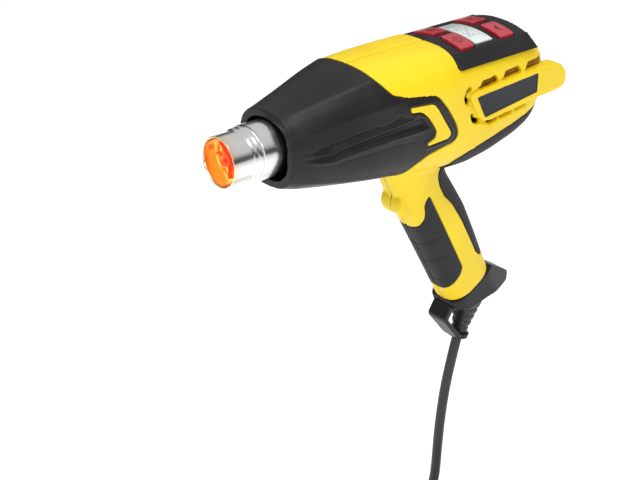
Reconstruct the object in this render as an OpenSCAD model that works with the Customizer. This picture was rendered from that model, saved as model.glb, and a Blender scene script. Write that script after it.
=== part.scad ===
// Pistol-grip heat gun with a digital control panel.
// Barrel frame: +X runs from the outlet's front face to the rear, +Z is up, the left side is -Y.
// The part's own origin is the middle of the hand grip.

/* [Outlet] */
// Outside diameter of the steel outlet, the size that slip-on nozzles fit
outlet_d = 34; // [33:0.5:35]
// Wall of the steel outlet tube
outlet_wall = 0.8; // [0.6:0.1:1]
// Outside diameter of the wider tube behind the two beads
rear_tube_d = 38; // [37.6:0.2:38.4]

/* [Barrel] */
// Scale of the barrel's width against its drawn stations
barrel_width_scale = 1; // [0.98:0.01:1.02]
// Wall of the yellow housing
housing_wall = 2.6; // [2.4:0.1:3]
// Wall of the black nose shroud
shroud_wall = 2.2; // [1.8:0.1:2.3]

/* [Handle] */
// Lean of the handle back from the vertical, in degrees
rake = 29; // [28.5:0.25:29.5]
// Depth of rubber let into the handle
rubber_depth = 1.6; // [1.2:0.1:1.8]
// Wall from the handle's outer face to its hollow
handle_wall = 4.2; // [3.8:0.1:4.6]

/* [Control panel] */
// Travel of each push button
button_travel = 0.9; // [0.5:0.1:0.9]
// Gap around each push button
button_gap = 0.35; // [0.3:0.05:0.5]

/* [Fan] */
// Number of fan blades
blade_count = 7; // [5:1:9]
// Radius at the tips of the fan blades
fan_tip_r = 28.5; // [26:0.5:28.5]
// Outside radius of the motor can
motor_r = 18; // [16:0.5:18]

/* [Mains cord] */
// Diameter of the mains cord
cord_d = 8; // [7:0.5:8]
// Turns side by side in each layer of the stored coil
coil_columns = 3; // [3:1:3]
// Mean radius of the stored coil
coil_r = 42; // [41:1:43]

/* [Hidden] */

$fn = 64;
ring_points = 32;
grip_x = 198;
grip_z = -108;
handle_x = 142;
surface_z = -385;

yellow = "gold";
charcoal = [0.2, 0.18, 0.19];
rubber = [0.17, 0.17, 0.2];
steel = "silver";
mica = [0.85, 0.65, 0.4];

// Barrel stations: place along X, half width, top, bottom, squareness
barrel_stations = [
    [38, 26.5, 24.3, -25.2, 2.7],
    [45, 28, 26, -27.8, 2.8],
    [60, 30.6, 29.8, -30.5, 2.9],
    [85, 34.8, 37, -34.5, 3],
    [105, 38, 42, -37.5, 3],
    [125, 39.5, 42.8, -40, 3],
    [145, 39.5, 42.8, -43.5, 3.2],
    [170, 39, 42.5, -46, 3.4],
    [195, 38.5, 42, -45.5, 3.6],
    [215, 38, 41.2, -43, 3.6],
    [240, 37, 40, -37, 3.6],
    [256, 36.5, 38, -31, 3.4],
    [264, 34, 33, -25, 3.2],
    [269.5, 29, 26.5, -18, 3]
];

// Handle stations along its own axis: height, front, back, half width, squareness
handle_stations = [
    [-25, -25, 32, 23, 2.6],
    [-45, -23.4, 28.5, 19.5, 2.6],
    [-62, -24, 23.6, 17.6, 2.6],
    [-76, -24, 20.8, 17, 2.6],
    [-95, -23.8, 22.6, 17.2, 2.6],
    [-115, -23.3, 24.2, 17.6, 2.6],
    [-145, -22.7, 23.2, 17.4, 2.6],
    [-170, -22.5, 21.8, 17, 2.6],
    [-184, -22.4, 21.4, 16.8, 2.6]
];

// Side view of the nose shroud's rear edge, from its top to its underside
shroud_outline = [
    [30, 60], [104, 60], [104, 45], [106, 37], [115, 26.5], [126.5, 22.7], [147, 19.4],
    [152, 18.4], [156, 15.5], [165, 5], [172.5, -6], [175.3, -12.5], [175, -16.3],
    [171.4, -19.2], [160, -20.4], [147, -23], [138, -28], [133, -35], [132, -60], [30, -60]
];

// Side view of the crescent that shows through the shroud
accent_outline = [
    [128, 16.1], [148, 14], [150.5, 12.6], [154, 8.6], [161.2, -2.1], [167.2, -10.5], [167.2, -13],
    [164.5, -14.8], [146, -15.2], [145, -13.4], [152.4, -10.8], [153, -6.1], [148.8, 0.4],
    [144.4, 5.6], [140, 9.7], [136, 11.6], [128.5, 12.6]
];

// Side view of the raised bar that carries the nameplate and ends in the rear bumper
bar_outline = [
    [185.5, 9.5], [188.5, 4], [196, -8], [201, -11.6], [207, -12.4], [256, -7.6], [279, -6.6],
    [285, -4], [286.3, 0], [285.6, 6], [279, 12.6], [274, 14.4], [256, 14.4], [192, 12]
];
bumper_x = 258;
nameplate_outline = [[192.3, 7.8], [254.6, 11], [254.8, -3], [201.6, -8.9]];

// Side view of one air slot, and where each of the three starts
slot_outline = [[0, 0], [1.5, 3.8], [15, 4.6], [17.5, 0.8]];
slot_starts = [[196.5, 13.2], [220.5, 14.6], [244.5, 15.6]];

// Side view of the dark guard along the underside behind the handle
underside_outline = [
    [182, -36.5], [190, -32.2], [206, -28.4], [226, -24], [240, -21.2], [252, -17.6], [259, -15],
    [259, -60], [182, -60]
];
underside_half_w = 37.5;

// Handle rubber outlines in the handle's own side view
grip_outline = [
    [-5.5, -75], [-11, -78], [-13, -83], [-14, -88], [-17, -93], [-22, -97], [-40, -97],
    [-40, -171], [-22, -169], [-14, -164], [-8, -160], [-5, -156]
];
back_outline = [
    [40, -80], [24, -73], [18, -67], [11, -65], [7.5, -68], [6, -76], [6, -87], [9.5, -98], [11.5, -119],
    [12, -156], [14, -163], [18, -166], [40, -166]
];
base_outline = [
    [-22.4, -184.1], [-24, -190], [-14, -199], [5, -205], [25, -213], [31, -214.5], [36, -209.5],
    [21.4, -184.1]
];
base_plan = [
    [-25, -10], [-16, -16], [14, -16], [37, -8.6], [37, 8.6], [14, 16], [-16, 16], [-25, 10]
];

// Side view of the strap that runs from the base round to the boot's end
strap_outline = [
    [215, -174], [211.5, -176.5], [205.8, -185.5], [206.6, -188.5], [225, -211.2], [227.3, -208.6],
    [210.2, -187.2], [214.5, -181], [221, -176]
];
strap_half_w = 9;

// Panel: crowned top between its side edges, then straight flanks
panel_front = 177;
panel_rear = 254;
crown_r = 77;
crown_top = 42;
panel_edge_y = 26;
flank = [37, 30];
panel_wall = 2.4;
board_z = 28;
switch_h = 1.6;
duct_r = 31.5;

button_front_x = [189, 203];
button_rear_x = [229, 243];
button_y = [3.2, 23.5];
button_proud = 1;
display_x = [206, 223];
display_y = [-21, 17];

// Route of the cord from the boot's end down to the coil, in the barrel frame
boot_top = [241, 0, -180];
boot_end = [231.5, 0, -213];
cord_route = [
    [233.2, 0, -207], [231.5, 0, -213], [229, 0, -222], [226.5, 0, -232], [224, 0, -243],
    [221.5, 0, -256], [219.5, 0, -270], [218, 0, -285], [217, 0, -300], [216.5, 0, -315],
    [216, 0, -330], [215, 0, -342], [211.5, 0, -354], [205, 0, -364], [196, 0, -370.5],
    [186, 0, -373], [176, -1, -373]
];
coil_centre = [180, -50];
coil_layers = 2;
tail_route = [
    [183, -107.8, -381], [190, -108, -381], [200, -107, -381], [210, -104.2, -380.5],
    [220, -101.4, -379], [228, -100.2, -377], [235, -100, -376]
];
plug_outline = [
    [0, -5], [8, -5.5], [16, -12], [42, -12], [44, -10], [44, 10], [42, 12], [16, 12], [8, 5.5],
    [0, 5]
];
plug_place = [231, -100];
plug_h = 18;
tie_angle = 215;

// Screw bosses across the housing, driven from the right side: side-view place and half length
barrel_bosses = [[200, -33, 32], [255, -12, 31]];
handle_bosses = [[1, -68, 15], [3, -112, 15], [4, -158, 15]];

function superellipse(angle, n) = [
    sign(cos(angle)) * pow(abs(cos(angle)), 2 / n),
    sign(sin(angle)) * pow(abs(sin(angle)), 2 / n)
];

// One ring of points around the barrel at a station, drawn in by an inset
function barrel_ring(s, inset) = [
    for (i = [0 : ring_points - 1])
        let (p = superellipse(360 * i / ring_points, s[4]))
            [s[0], p[0] * (s[1] * barrel_width_scale - inset),
                (s[2] + s[3]) / 2 + p[1] * ((s[2] - s[3]) / 2 - inset)]
];

// One ring of points around the handle at a station, in the handle's own frame
function handle_ring(s, inset) = [
    for (i = [0 : ring_points - 1])
        let (p = superellipse(-360 * i / ring_points, s[4]))
            [(s[1] + s[2]) / 2 + p[0] * ((s[2] - s[1]) / 2 - inset), p[1] * (s[3] - inset), s[0]]
];

// A ring of the cord's section, square to its route at point i
function route_direction(route, i) =
    let (a = route[max(i - 1, 0)], b = route[min(i + 1, len(route) - 1)], d = b - a) d / norm(d);
function route_ring(route, i, r, sides) =
    let (t = route_direction(route, i), across = [0, 1, 0], v = cross(t, across), u = v / norm(v),
        w = cross(t, u))
        [for (k = [0 : sides - 1]) route[i] + r * (cos(360 * k / sides) * u + sin(360 * k / sides) * w)];

// Closed skin over rings that all have the same number of points
module skin(rings) {
    n = len(rings[0]);
    last = len(rings) - 1;
    sides = [
        for (j = [0 : last - 1], i = [0 : n - 1], half = [0 : 1])
            let (a = j * n + i, b = j * n + (i + 1) % n, c = a + n, d = b + n)
                half == 0 ? [a, d, b] : [a, c, d]
    ];
    polyhedron(
        points = [for (ring = rings) each ring],
        faces = concat([[for (i = [0 : n - 1]) i]], sides, [[for (i = [n - 1 : -1 : 0]) last * n + i]]),
        convexity = 6
    );
}

module in_part_frame() {
    translate([-grip_x, 0, -grip_z]) children();
}

module in_handle() {
    translate([handle_x, 0, 0]) rotate([0, -rake, 0]) children();
}

// A solid turned about the barrel axis, from points [radius, place along X]
module turned(points) {
    rotate([0, 90, 0]) rotate_extrude() polygon(points);
}

module along_x(from_x, to_x, r) {
    translate([from_x, 0, 0]) rotate([0, 90, 0]) cylinder(r = r, h = to_x - from_x);
}

module side_prism(outline, from_y, to_y) {
    translate([0, from_y, 0]) mirror([0, 1, 0]) rotate([90, 0, 0])
        linear_extrude(height = to_y - from_y) polygon(outline);
}

module barrel(inset) {
    skin([for (s = barrel_stations) barrel_ring(s, inset)]);
}

module handle_body(inset) {
    in_handle() skin([for (s = handle_stations) handle_ring(s, inset)]);
}

// The hollow of the barrel stops short of its rear wall
module barrel_hollow() {
    intersection() {
        barrel(shroud_wall + housing_wall + 0.4);
        translate([90, -50, -60]) cube([174, 100, 120]);
    }
}

module finger_stop() {
    in_handle() translate([-18.6, 0, -73.5]) rotate([90, 0, 0]) rotate_extrude()
        polygon([[0, -10.5], [7, -10.5], [9.6, -8], [10.8, -4], [10.8, 4], [9.6, 8], [7, 10.5], [0, 10.5]]);
}

module panel_profile(grow) {
    polygon(concat(
        [for (y = [-panel_edge_y : 4 : panel_edge_y + 0.1])
            [y, crown_top - crown_r + sqrt(crown_r * crown_r - y * y) + grow]],
        [[flank[0] + grow, flank[1] + grow / 2], [flank[0] + grow, flank[1]], [-flank[0] - grow, flank[1]],
            [-flank[0] - grow, flank[1] + grow / 2]]
    ));
}

module panel_block(from_x, to_x, grow) {
    translate([from_x, 0, 0]) rotate([90, 0, 90]) linear_extrude(height = to_x - from_x)
        panel_profile(grow);
}

module button_slot(x_range, side, grow) {
    y0 = side > 0 ? button_y[0] : -button_y[1];
    translate([x_range[0] - grow, y0 - grow, 0])
        cube([x_range[1] - x_range[0] + 2 * grow, button_y[1] - button_y[0] + 2 * grow, 60]);
}

module outlet_tube() {
    r = outlet_d / 2;
    color(steel) in_part_frame() turned([
        [r - 1.4, 1], [r - 1.2, 0.4], [r - 0.7, 0], [r - 0.3, 0.1], [r, 0.5], [r, 15],
        [r + 1.1, 16], [r + 1.1, 17.6], [r + 0.3, 18.4], [r + 0.3, 18.8], [r + 1.4, 19.8],
        [r + 1.4, 21.6], [r + 0.6, 22.2], [r - outlet_wall, 22.2], [r - outlet_wall, 2]
    ]);
}

// The wider tube round the heating element, with a stop collar at its rear
module element_shell() {
    r = outlet_d / 2;
    big = rear_tube_d / 2;
    color(steel) in_part_frame() turned([
        [r - outlet_wall, 22.2], [r + 0.6, 22.2], [big, 23], [big, 74], [23, 74], [23, 76],
        [big - outlet_wall, 76], [big - outlet_wall, 23.8]
    ]);
}

module mouth_ring() {
    color("dimgray") in_part_frame() difference() {
        intersection() {
            barrel(shroud_wall + 0.1);
            translate([52, -50, -50]) cube([3, 100, 100]);
        }
        along_x(50, 60, rear_tube_d / 2 + 0.1);
        for (i = [0 : 5])
            rotate([60 * i, 0, 0]) translate([50, -4, 20.4]) cube([10, 8, 2.4]);
    }
}

module mica_sleeve() {
    color(mica) in_part_frame() difference() {
        along_x(25, 70, 17.8);
        along_x(24, 71, 16.9);
    }
}

module element_former() {
    color("linen") in_part_frame() difference() {
        union() {
            along_x(6, 70.4, 4);
            for (i = [0 : 7])
                rotate([45 * i, 0, 0]) translate([8, -0.5, 3]) cube([62, 1, 10]);
        }
        along_x(5, 71, 1.5);
    }
}

module heating_winding() {
    color("orangered") in_part_frame() for (i = [0 : 10])
        translate([12 + 5.5 * i, 0, 0]) rotate([0, 90, 0])
            rotate_extrude() translate([13.8, 0]) circle(r = 0.6, $fn = 16);
}

module element_base() {
    color("linen") in_part_frame() difference() {
        along_x(70.5, 77, 16.6);
        for (i = [0 : 5])
            rotate([60 * i, 0, 0]) translate([70, 0, 10]) rotate([0, 90, 0]) cylinder(r = 2.6, h = 8);
    }
}

module thermal_fuse() {
    color("gainsboro") in_part_frame() {
        translate([80, 6, 0]) rotate([0, 90, 0]) cylinder(r = 2, h = 11);
        translate([77.1, 6, 0]) rotate([0, 90, 0]) cylinder(r = 0.5, h = 2.9);
        translate([91, 6, 0]) rotate([0, 90, 0]) cylinder(r = 0.5, h = 6);
    }
}

module air_duct() {
    color("lightgray") in_part_frame() turned([
        [21.4, 76.1], [23, 76.1], [duct_r, 104], [duct_r, 112], [duct_r - 1.4, 112],
        [duct_r - 1.4, 104.3]
    ]);
}

module fan_housing() {
    color("dimgray") in_part_frame() {
        difference() {
            along_x(112.1, 150, duct_r);
            along_x(112, 151, duct_r - 1.4);
        }
        difference() {
            along_x(138, 150, motor_r + 2.6);
            along_x(137, 151, motor_r + 0.05);
        }
        for (i = [0 : 3])
            rotate([90 * i + 45, 0, 0]) translate([139, -1.2, motor_r + 2.2])
                cube([10, 2.4, duct_r - 1 - motor_r - 2.2]);
    }
}

module fan_impeller() {
    color("black") in_part_frame() {
        difference() {
            along_x(117, 131, 9);
            along_x(116, 132, 1.6);
        }
        for (i = [0 : blade_count - 1])
            rotate([360 * i / blade_count, 0, 0]) translate([124, 0, (8.6 + fan_tip_r) / 2])
                rotate([0, 0, 38]) cube([13, 1.4, fan_tip_r - 8.6], center = true);
    }
}

module motor_shaft() {
    color(steel) in_part_frame() along_x(114, 195, 1.6);
}

module motor_body() {
    color("slategray") in_part_frame() difference() {
        union() {
            along_x(136, 186, motor_r);
            along_x(186, 191, motor_r - 5);
            along_x(133.5, 136, 6);
        }
        along_x(133, 192, 1.7);
    }
}

module nose_shroud() {
    color(charcoal) in_part_frame() difference() {
        intersection() {
            barrel(0);
            side_prism(shroud_outline, -60, 60);
        }
        barrel(shroud_wall);
        side_prism(accent_outline, -60, -25);
        side_prism(accent_outline, 25, 60);
    }
}

module accent(side) {
    color(yellow) in_part_frame() intersection() {
        difference() {
            barrel(-0.5);
            barrel(shroud_wall);
        }
        side_prism(accent_outline, side < 0 ? -60 : 25, side < 0 ? -25 : 60);
    }
}

module accent_left() {
    accent(-1);
}

module accent_right() {
    accent(1);
}

// Both halves of the yellow housing before they are split at the middle plane
module housing_whole() {
    difference() {
        union() {
            difference() {
                barrel(0);
                side_prism(shroud_outline, -60, 60);
            }
            intersection() {
                barrel(shroud_wall + 0.2);
                translate([95, -50, -60]) cube([85, 100, 120]);
            }
            handle_body(0);
            finger_stop();
            for (s = [-1, 1])
                side_bar(s);
        }
        barrel_hollow();
        handle_body(handle_wall);
        translate([panel_front - 0.2, -50, flank[1] - 0.2])
            cube([panel_rear - panel_front + 0.4, 100, 40]);
        for (s = slot_starts)
            translate([s[0], 0, s[1]]) side_prism(slot_outline, -60, 60);
        for (s = [-1, 1])
            nameplate_pocket(s);
        rubber_pocket();
    }
}

module side_bar(side) {
    side_prism(bar_outline, side < 0 ? -38.6 : 33, side < 0 ? -33 : 38.6);
    intersection() {
        side_prism(bar_outline, side < 0 ? -38.6 : 27, side < 0 ? -27 : 38.6);
        translate([bumper_x, -50, -50]) cube([40, 100, 100]);
    }
}

module nameplate_pocket(side) {
    side_prism(nameplate_outline, side < 0 ? -40 : 37.6, side < 0 ? -37.6 : 40);
}

module rubber_pocket() {
    difference() {
        in_handle() {
            side_prism(grip_outline, -30, 30);
            side_prism(back_outline, -30, 30);
        }
        handle_body(rubber_depth);
    }
}

// A cylinder across the gun, from one side-view point and between two y values
module across(place, from_y, to_y, r) {
    translate([place[0], to_y, place[1]]) rotate([90, 0, 0]) cylinder(r = r, h = to_y - from_y);
}

module bosses(side) {
    if (side < 0) {
        for (b = barrel_bosses)
            across(b, -b[2], 0, 4.4);
        in_handle() for (b = handle_bosses)
            across(b, -b[2] + 0.5, 0, 4);
    } else {
        for (b = barrel_bosses)
            across(b, 0, b[2], 5.4);
        in_handle() for (b = handle_bosses)
            across(b, 0, b[2] - 0.5, 5);
    }
}

module boss_holes(side) {
    depth = side < 0 ? [-11, 1] : [-1, 12.1];
    r = side < 0 ? 1.45 : 1.8;
    for (b = barrel_bosses) {
        across(b, depth[0], depth[1], r);
        if (side > 0)
            across(b, 12, 60, 3.8);
    }
    in_handle() for (b = handle_bosses) {
        across(b, depth[0], depth[1], r);
        if (side > 0)
            across(b, 12, 60, 3.8);
    }
}

module housing_half(side) {
    color(yellow) in_part_frame() difference() {
        union() {
            intersection() {
                housing_whole();
                translate([80, side < 0 ? -60 : 0, -220]) cube([220, 60, 280]);
            }
            bosses(side);
        }
        boss_holes(side);
    }
}

module housing_left() {
    housing_half(-1);
}

module housing_right() {
    housing_half(1);
}

module panel_cover() {
    color(charcoal) in_part_frame() difference() {
        panel_block(panel_front, panel_rear, 0);
        translate([0, 0, -panel_wall]) panel_block(panel_front + panel_wall, panel_rear - panel_wall, 0);
        translate([0, -50, flank[1] - 3]) cube([400, 100, 3]);
        for (s = [-1, 1]) {
            button_slot(button_front_x, s, button_gap);
            button_slot(button_rear_x, s, button_gap);
        }
        translate([display_x[0], display_y[0], 30])
            cube([display_x[1] - display_x[0], display_y[1] - display_y[0], 20]);
    }
}

module display() {
    color("honeydew") in_part_frame() intersection() {
        panel_block(panel_front, panel_rear, -0.4);
        translate([display_x[0], display_y[0], 32])
            cube([display_x[1] - display_x[0], display_y[1] - display_y[0], 20]);
    }
}

module button(x_range, side) {
    y0 = side > 0 ? button_y[0] : -button_y[1];
    span = button_y[1] - button_y[0];
    color("indianred") in_part_frame() {
        intersection() {
            panel_block(panel_front, panel_rear, button_proud);
            translate([x_range[0], y0, 35]) cube([x_range[1] - x_range[0], span, 20]);
        }
        translate([(x_range[0] + x_range[1]) / 2, y0 + span / 2, board_z + switch_h * 2 + button_travel])
            cylinder(r = 2.5, h = 36 - board_z - switch_h * 2 - button_travel);
    }
}

module button_front_left() {
    button(button_front_x, -1);
}

module button_front_right() {
    button(button_front_x, 1);
}

module button_rear_left() {
    button(button_rear_x, -1);
}

module button_rear_right() {
    button(button_rear_x, 1);
}

module control_board() {
    color("darkgreen") in_part_frame() translate([184, -25, board_z - 1.6]) cube([62, 50, 1.6]);
}

module board_switches() {
    color("black") in_part_frame() for (x_range = [button_front_x, button_rear_x], s = [-1, 1])
        translate([(x_range[0] + x_range[1]) / 2 - 3, s * (button_y[0] + button_y[1]) / 2 - 3, board_z]) {
            cube([6, 6, switch_h]);
            translate([3, 3, switch_h]) cylinder(r = 1.5, h = switch_h - 0.4);
        }
}

module power_board() {
    color("darkgreen") in_part_frame() {
        translate([200, -22, -16]) cube([50, 44, 1.6]);
        translate([206, -18, -14.4]) cube([16, 12, 11]);
        translate([206, 6, -14.4]) cylinder(r = 5, h = 14);
    }
}

module heat_sink() {
    color("lightgray") in_part_frame() {
        translate([232, -16, -14.4]) cube([14, 32, 3]);
        for (i = [0 : 5])
            translate([232, -16 + 6 * i, -11.4]) cube([14, 2, 13]);
    }
}

module intake_screens() {
    color("dimgray") in_part_frame() for (s = [-1, 1])
        translate([195, s * 28.4 - 0.4, 10]) cube([53, 0.8, 12]);
}

module nameplate(side) {
    color("black") in_part_frame() side_prism(nameplate_outline, side < 0 ? -38.9 : 37.6, side < 0 ? -37.6 : 38.9);
}

module nameplate_left() {
    nameplate(-1);
}

module nameplate_right() {
    nameplate(1);
}

module rubber_layer(outline, from_y, to_y) {
    difference() {
        intersection() {
            handle_body(0);
            in_handle() side_prism(outline, from_y, to_y);
        }
        handle_body(rubber_depth - 0.05);
    }
}

module grip_left() {
    color(rubber) in_part_frame() rubber_layer(grip_outline, -30, 0);
}

module grip_right() {
    color(rubber) in_part_frame() rubber_layer(grip_outline, 0, 30);
}

module back_grip() {
    color(rubber) in_part_frame() rubber_layer(back_outline, -30, 30);
}

module underside_strip() {
    color(rubber) in_part_frame() difference() {
        intersection() {
            barrel(-2.4);
            side_prism(underside_outline, -underside_half_w, underside_half_w);
        }
        barrel(-0.05);
        handle_body(0);
        across(barrel_bosses[0], 12, 60, 3.8);
    }
}

module base_block() {
    in_handle() intersection() {
        side_prism(base_outline, -20, 20);
        translate([0, 0, -220]) linear_extrude(height = 40) polygon(base_plan);
    }
}

module boot_solid() {
    run = boot_end - boot_top;
    translate(boot_top) rotate([0, 180 + atan2(-run[0], -run[2]), 0])
        cylinder(r1 = 10.5, r2 = 5.4, h = norm(run));
}

module base_cap() {
    color(charcoal) in_part_frame() difference() {
        base_block();
        boot_solid();
    }
}

module hang_loop() {
    color(charcoal) in_part_frame() difference() {
        union() {
            side_prism(strap_outline, -strap_half_w, strap_half_w);
            translate(boot_end) rotate([0, atan2(boot_top[0] - boot_end[0], boot_top[2] - boot_end[2]), 0])
                cylinder(r = 8, h = 4.5);
        }
        base_block();
        boot_solid();
    }
}

module cord_boot() {
    color(charcoal) in_part_frame() boot_solid();
}

module cord_clamp() {
    color("dimgray") in_part_frame() in_handle() difference() {
        translate([-12, -8.5, -176]) cube([26, 17, 6]);
        translate([0, 0, -177]) cylinder(r = cord_d / 2 + 0.1, h = 8);
        for (s = [-1, 1])
            translate([s * 9.5 + 0.5, 0, -177]) cylinder(r = 1.6, h = 8);
    }
}

module terminal_block() {
    color("ivory") in_part_frame() in_handle() difference() {
        translate([-12, -9, -148]) cube([24, 18, 11]);
        for (i = [0 : 2])
            translate([-8 + 8 * i, 0, -142]) cylinder(r = 2.4, h = 6);
    }
}

module lead_wires() {
    color("white") in_part_frame() in_handle() for (i = [0 : 3])
        translate([-14, -6 + 4 * i, -136.8]) cylinder(r = 1.1, h = 100);
}

module screw(b, length) {
    across(b, 12.1, 14.6, 3.4);
    across(b, 12.1 - length, 12.2, 1.4);
}

module housing_screws() {
    color(steel) in_part_frame() {
        for (b = barrel_bosses)
            screw(b, 22);
        in_handle() for (b = handle_bosses)
            screw(b, 22);
    }
}

module motor_screws() {
    color(steel) in_part_frame() for (s = [-1, 1])
        translate([134.4, 11 * s, 0]) rotate([0, 90, 0]) cylinder(r = 2.2, h = 1.5);
}

module cord_tube(route, sides) {
    skin([for (i = [0 : len(route) - 1]) route_ring(route, i, cord_d / 2, sides)]);
}

module power_cord() {
    color(charcoal) in_part_frame() {
        cord_tube(cord_route, 12);
        cord_tube(tail_route, 12);
    }
}

module cord_coil() {
    half = coil_columns * cord_d / 2;
    color(charcoal) in_part_frame() translate([coil_centre[0], coil_centre[1], surface_z])
        rotate_extrude() translate([coil_r - half, 0]) square([2 * half, coil_layers * cord_d]);
}

module cord_tie() {
    half = coil_columns * cord_d / 2;
    color("black") in_part_frame() translate([coil_centre[0], coil_centre[1], surface_z])
        rotate([0, 0, tie_angle]) difference() {
            translate([coil_r - half - 1.4, -6, 0]) cube([2 * half + 2.8, 12, coil_layers * cord_d + 1.4]);
            translate([coil_r - half - 0.1, -7, 1]) cube([2 * half + 0.2, 14, coil_layers * cord_d - 0.9]);
        }
}

module plug_body() {
    color(charcoal) in_part_frame() translate([plug_place[0], plug_place[1], surface_z])
        linear_extrude(height = plug_h) polygon(plug_outline);
}

module plug_pins() {
    color("goldenrod") in_part_frame() for (s = [-1, 1])
        translate([plug_place[0] + 44, plug_place[1] + 6.35 * s - 0.75, surface_z + plug_h / 2 - 3.2 - 0.4 * s])
            cube([17, 1.5, 6.4 + 0.8 * s]);
}

outlet_tube();
element_shell();
mouth_ring();
mica_sleeve();
element_former();
heating_winding();
element_base();
thermal_fuse();
air_duct();
fan_housing();
fan_impeller();
motor_shaft();
motor_body();
nose_shroud();
accent_left();
accent_right();
housing_left();
housing_right();
panel_cover();
display();
button_front_left();
button_front_right();
button_rear_left();
button_rear_right();
control_board();
board_switches();
power_board();
heat_sink();
intake_screens();
nameplate_left();
nameplate_right();
grip_left();
grip_right();
back_grip();
underside_strip();
base_cap();
hang_loop();
cord_boot();
cord_clamp();
terminal_block();
lead_wires();
housing_screws();
motor_screws();
power_cord();
cord_coil();
cord_tie();
plug_body();
plug_pins();
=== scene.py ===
# %% [markdown]
# # A pistol-grip heat gun
# The tool is a bright steel outlet in a black nose shroud, a yellow two-part housing with a
# crowned control panel, a rubber-faced handle, a hanging strap and a stored mains cord.
# The engineering model comes first and never moves: everything below is dressed onto it.

# %% Load the engineering frame
import math
import bpy
import numpy as np
from mathutils import Matrix, Vector


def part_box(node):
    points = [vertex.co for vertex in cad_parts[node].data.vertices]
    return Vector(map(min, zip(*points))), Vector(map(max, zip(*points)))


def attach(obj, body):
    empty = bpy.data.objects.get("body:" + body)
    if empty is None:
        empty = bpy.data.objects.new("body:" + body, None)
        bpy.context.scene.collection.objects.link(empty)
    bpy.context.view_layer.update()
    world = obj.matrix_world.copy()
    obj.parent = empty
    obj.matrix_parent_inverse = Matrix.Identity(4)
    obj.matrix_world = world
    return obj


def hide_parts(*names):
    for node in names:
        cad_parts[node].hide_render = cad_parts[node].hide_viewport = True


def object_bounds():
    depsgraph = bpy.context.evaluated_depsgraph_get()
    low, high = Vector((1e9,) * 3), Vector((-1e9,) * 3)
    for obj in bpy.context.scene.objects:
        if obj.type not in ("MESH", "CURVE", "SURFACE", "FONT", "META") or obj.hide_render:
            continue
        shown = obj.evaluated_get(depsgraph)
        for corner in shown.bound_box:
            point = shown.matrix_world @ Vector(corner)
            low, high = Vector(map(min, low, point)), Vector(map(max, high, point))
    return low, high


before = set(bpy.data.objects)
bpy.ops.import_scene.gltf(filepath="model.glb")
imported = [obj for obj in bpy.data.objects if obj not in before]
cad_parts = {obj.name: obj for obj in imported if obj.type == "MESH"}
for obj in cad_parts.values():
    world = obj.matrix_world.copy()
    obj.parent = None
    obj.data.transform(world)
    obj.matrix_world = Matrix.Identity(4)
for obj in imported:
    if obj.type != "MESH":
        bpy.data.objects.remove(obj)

cad_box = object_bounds()
print("CAD box", [round(v, 3) for v in cad_box[0]], [round(v, 3) for v in cad_box[1]])

# %% [markdown]
# ## One way of giving positions
# A maker of such a tool measures along the barrel from the outlet's mouth. The frame's origin is
# in the hand grip, so one small function turns barrel millimetres into frame metres. Its two
# numbers come from the outlet tube's own box.

# %% Barrel millimetres to frame metres
outlet_lo, outlet_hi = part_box("outlet_tube")
MOUTH_X = outlet_lo.x
AXIS_Z = (outlet_lo.z + outlet_hi.z) / 2


def place(x, y, z):
    return Vector((MOUTH_X + x / 1000, y / 1000, AXIS_Z + z / 1000))


def place_all(points):
    points = np.asarray(points, float)
    return points / 1000 + np.array([MOUTH_X, 0.0, AXIS_Z])


print("outlet mouth at", [round(v, 4) for v in place(0, 0, 0)])

# %% [markdown]
# ## Camera
# A long lens from the front left and above shows the outlet, the panel and the handle at once.
# The camera is built from three angles rather than with a Track To constraint, because a
# constraint can't hold the slight roll.

# %% Set the camera
def turned_axes(azimuth, elevation, roll):
    a, e, r = (math.radians(v) for v in (azimuth, elevation, roll))
    back = Vector((-math.sin(a) * math.cos(e), -math.cos(a) * math.cos(e), math.sin(e)))
    right = Vector((math.cos(a), -math.sin(a), 0))
    up = back.cross(right)
    return right * math.cos(r) + up * math.sin(r), up * math.cos(r) - right * math.sin(r), back


camera_data = bpy.data.cameras.new("studio_camera")
camera_data.lens = 77.6
camera_data.sensor_width = 36
camera_data.clip_end = 50
camera = bpy.data.objects.new("studio_camera", camera_data)
bpy.context.scene.collection.objects.link(camera)
camera_axes = Matrix(turned_axes(41.6, 27.0, 0.9)).transposed().to_4x4()
camera.matrix_world = Matrix.Translation(place(-471.0, -626.6, 345.8)) @ camera_axes
bpy.context.scene.camera = camera
print("camera at", [round(v, 3) for v in camera.matrix_world.translation])

# %% [markdown]
# ## Shader maths as plain Python
# Every finish here is worked out by nodes. A small class stands for one output of a node and
# overloads the arithmetic signs, so that `base + 0.1 * grain` builds its own Math nodes.
# `Finish` owns a material: `node` adds any other node, and `surface` sets the shader's sockets.

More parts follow.
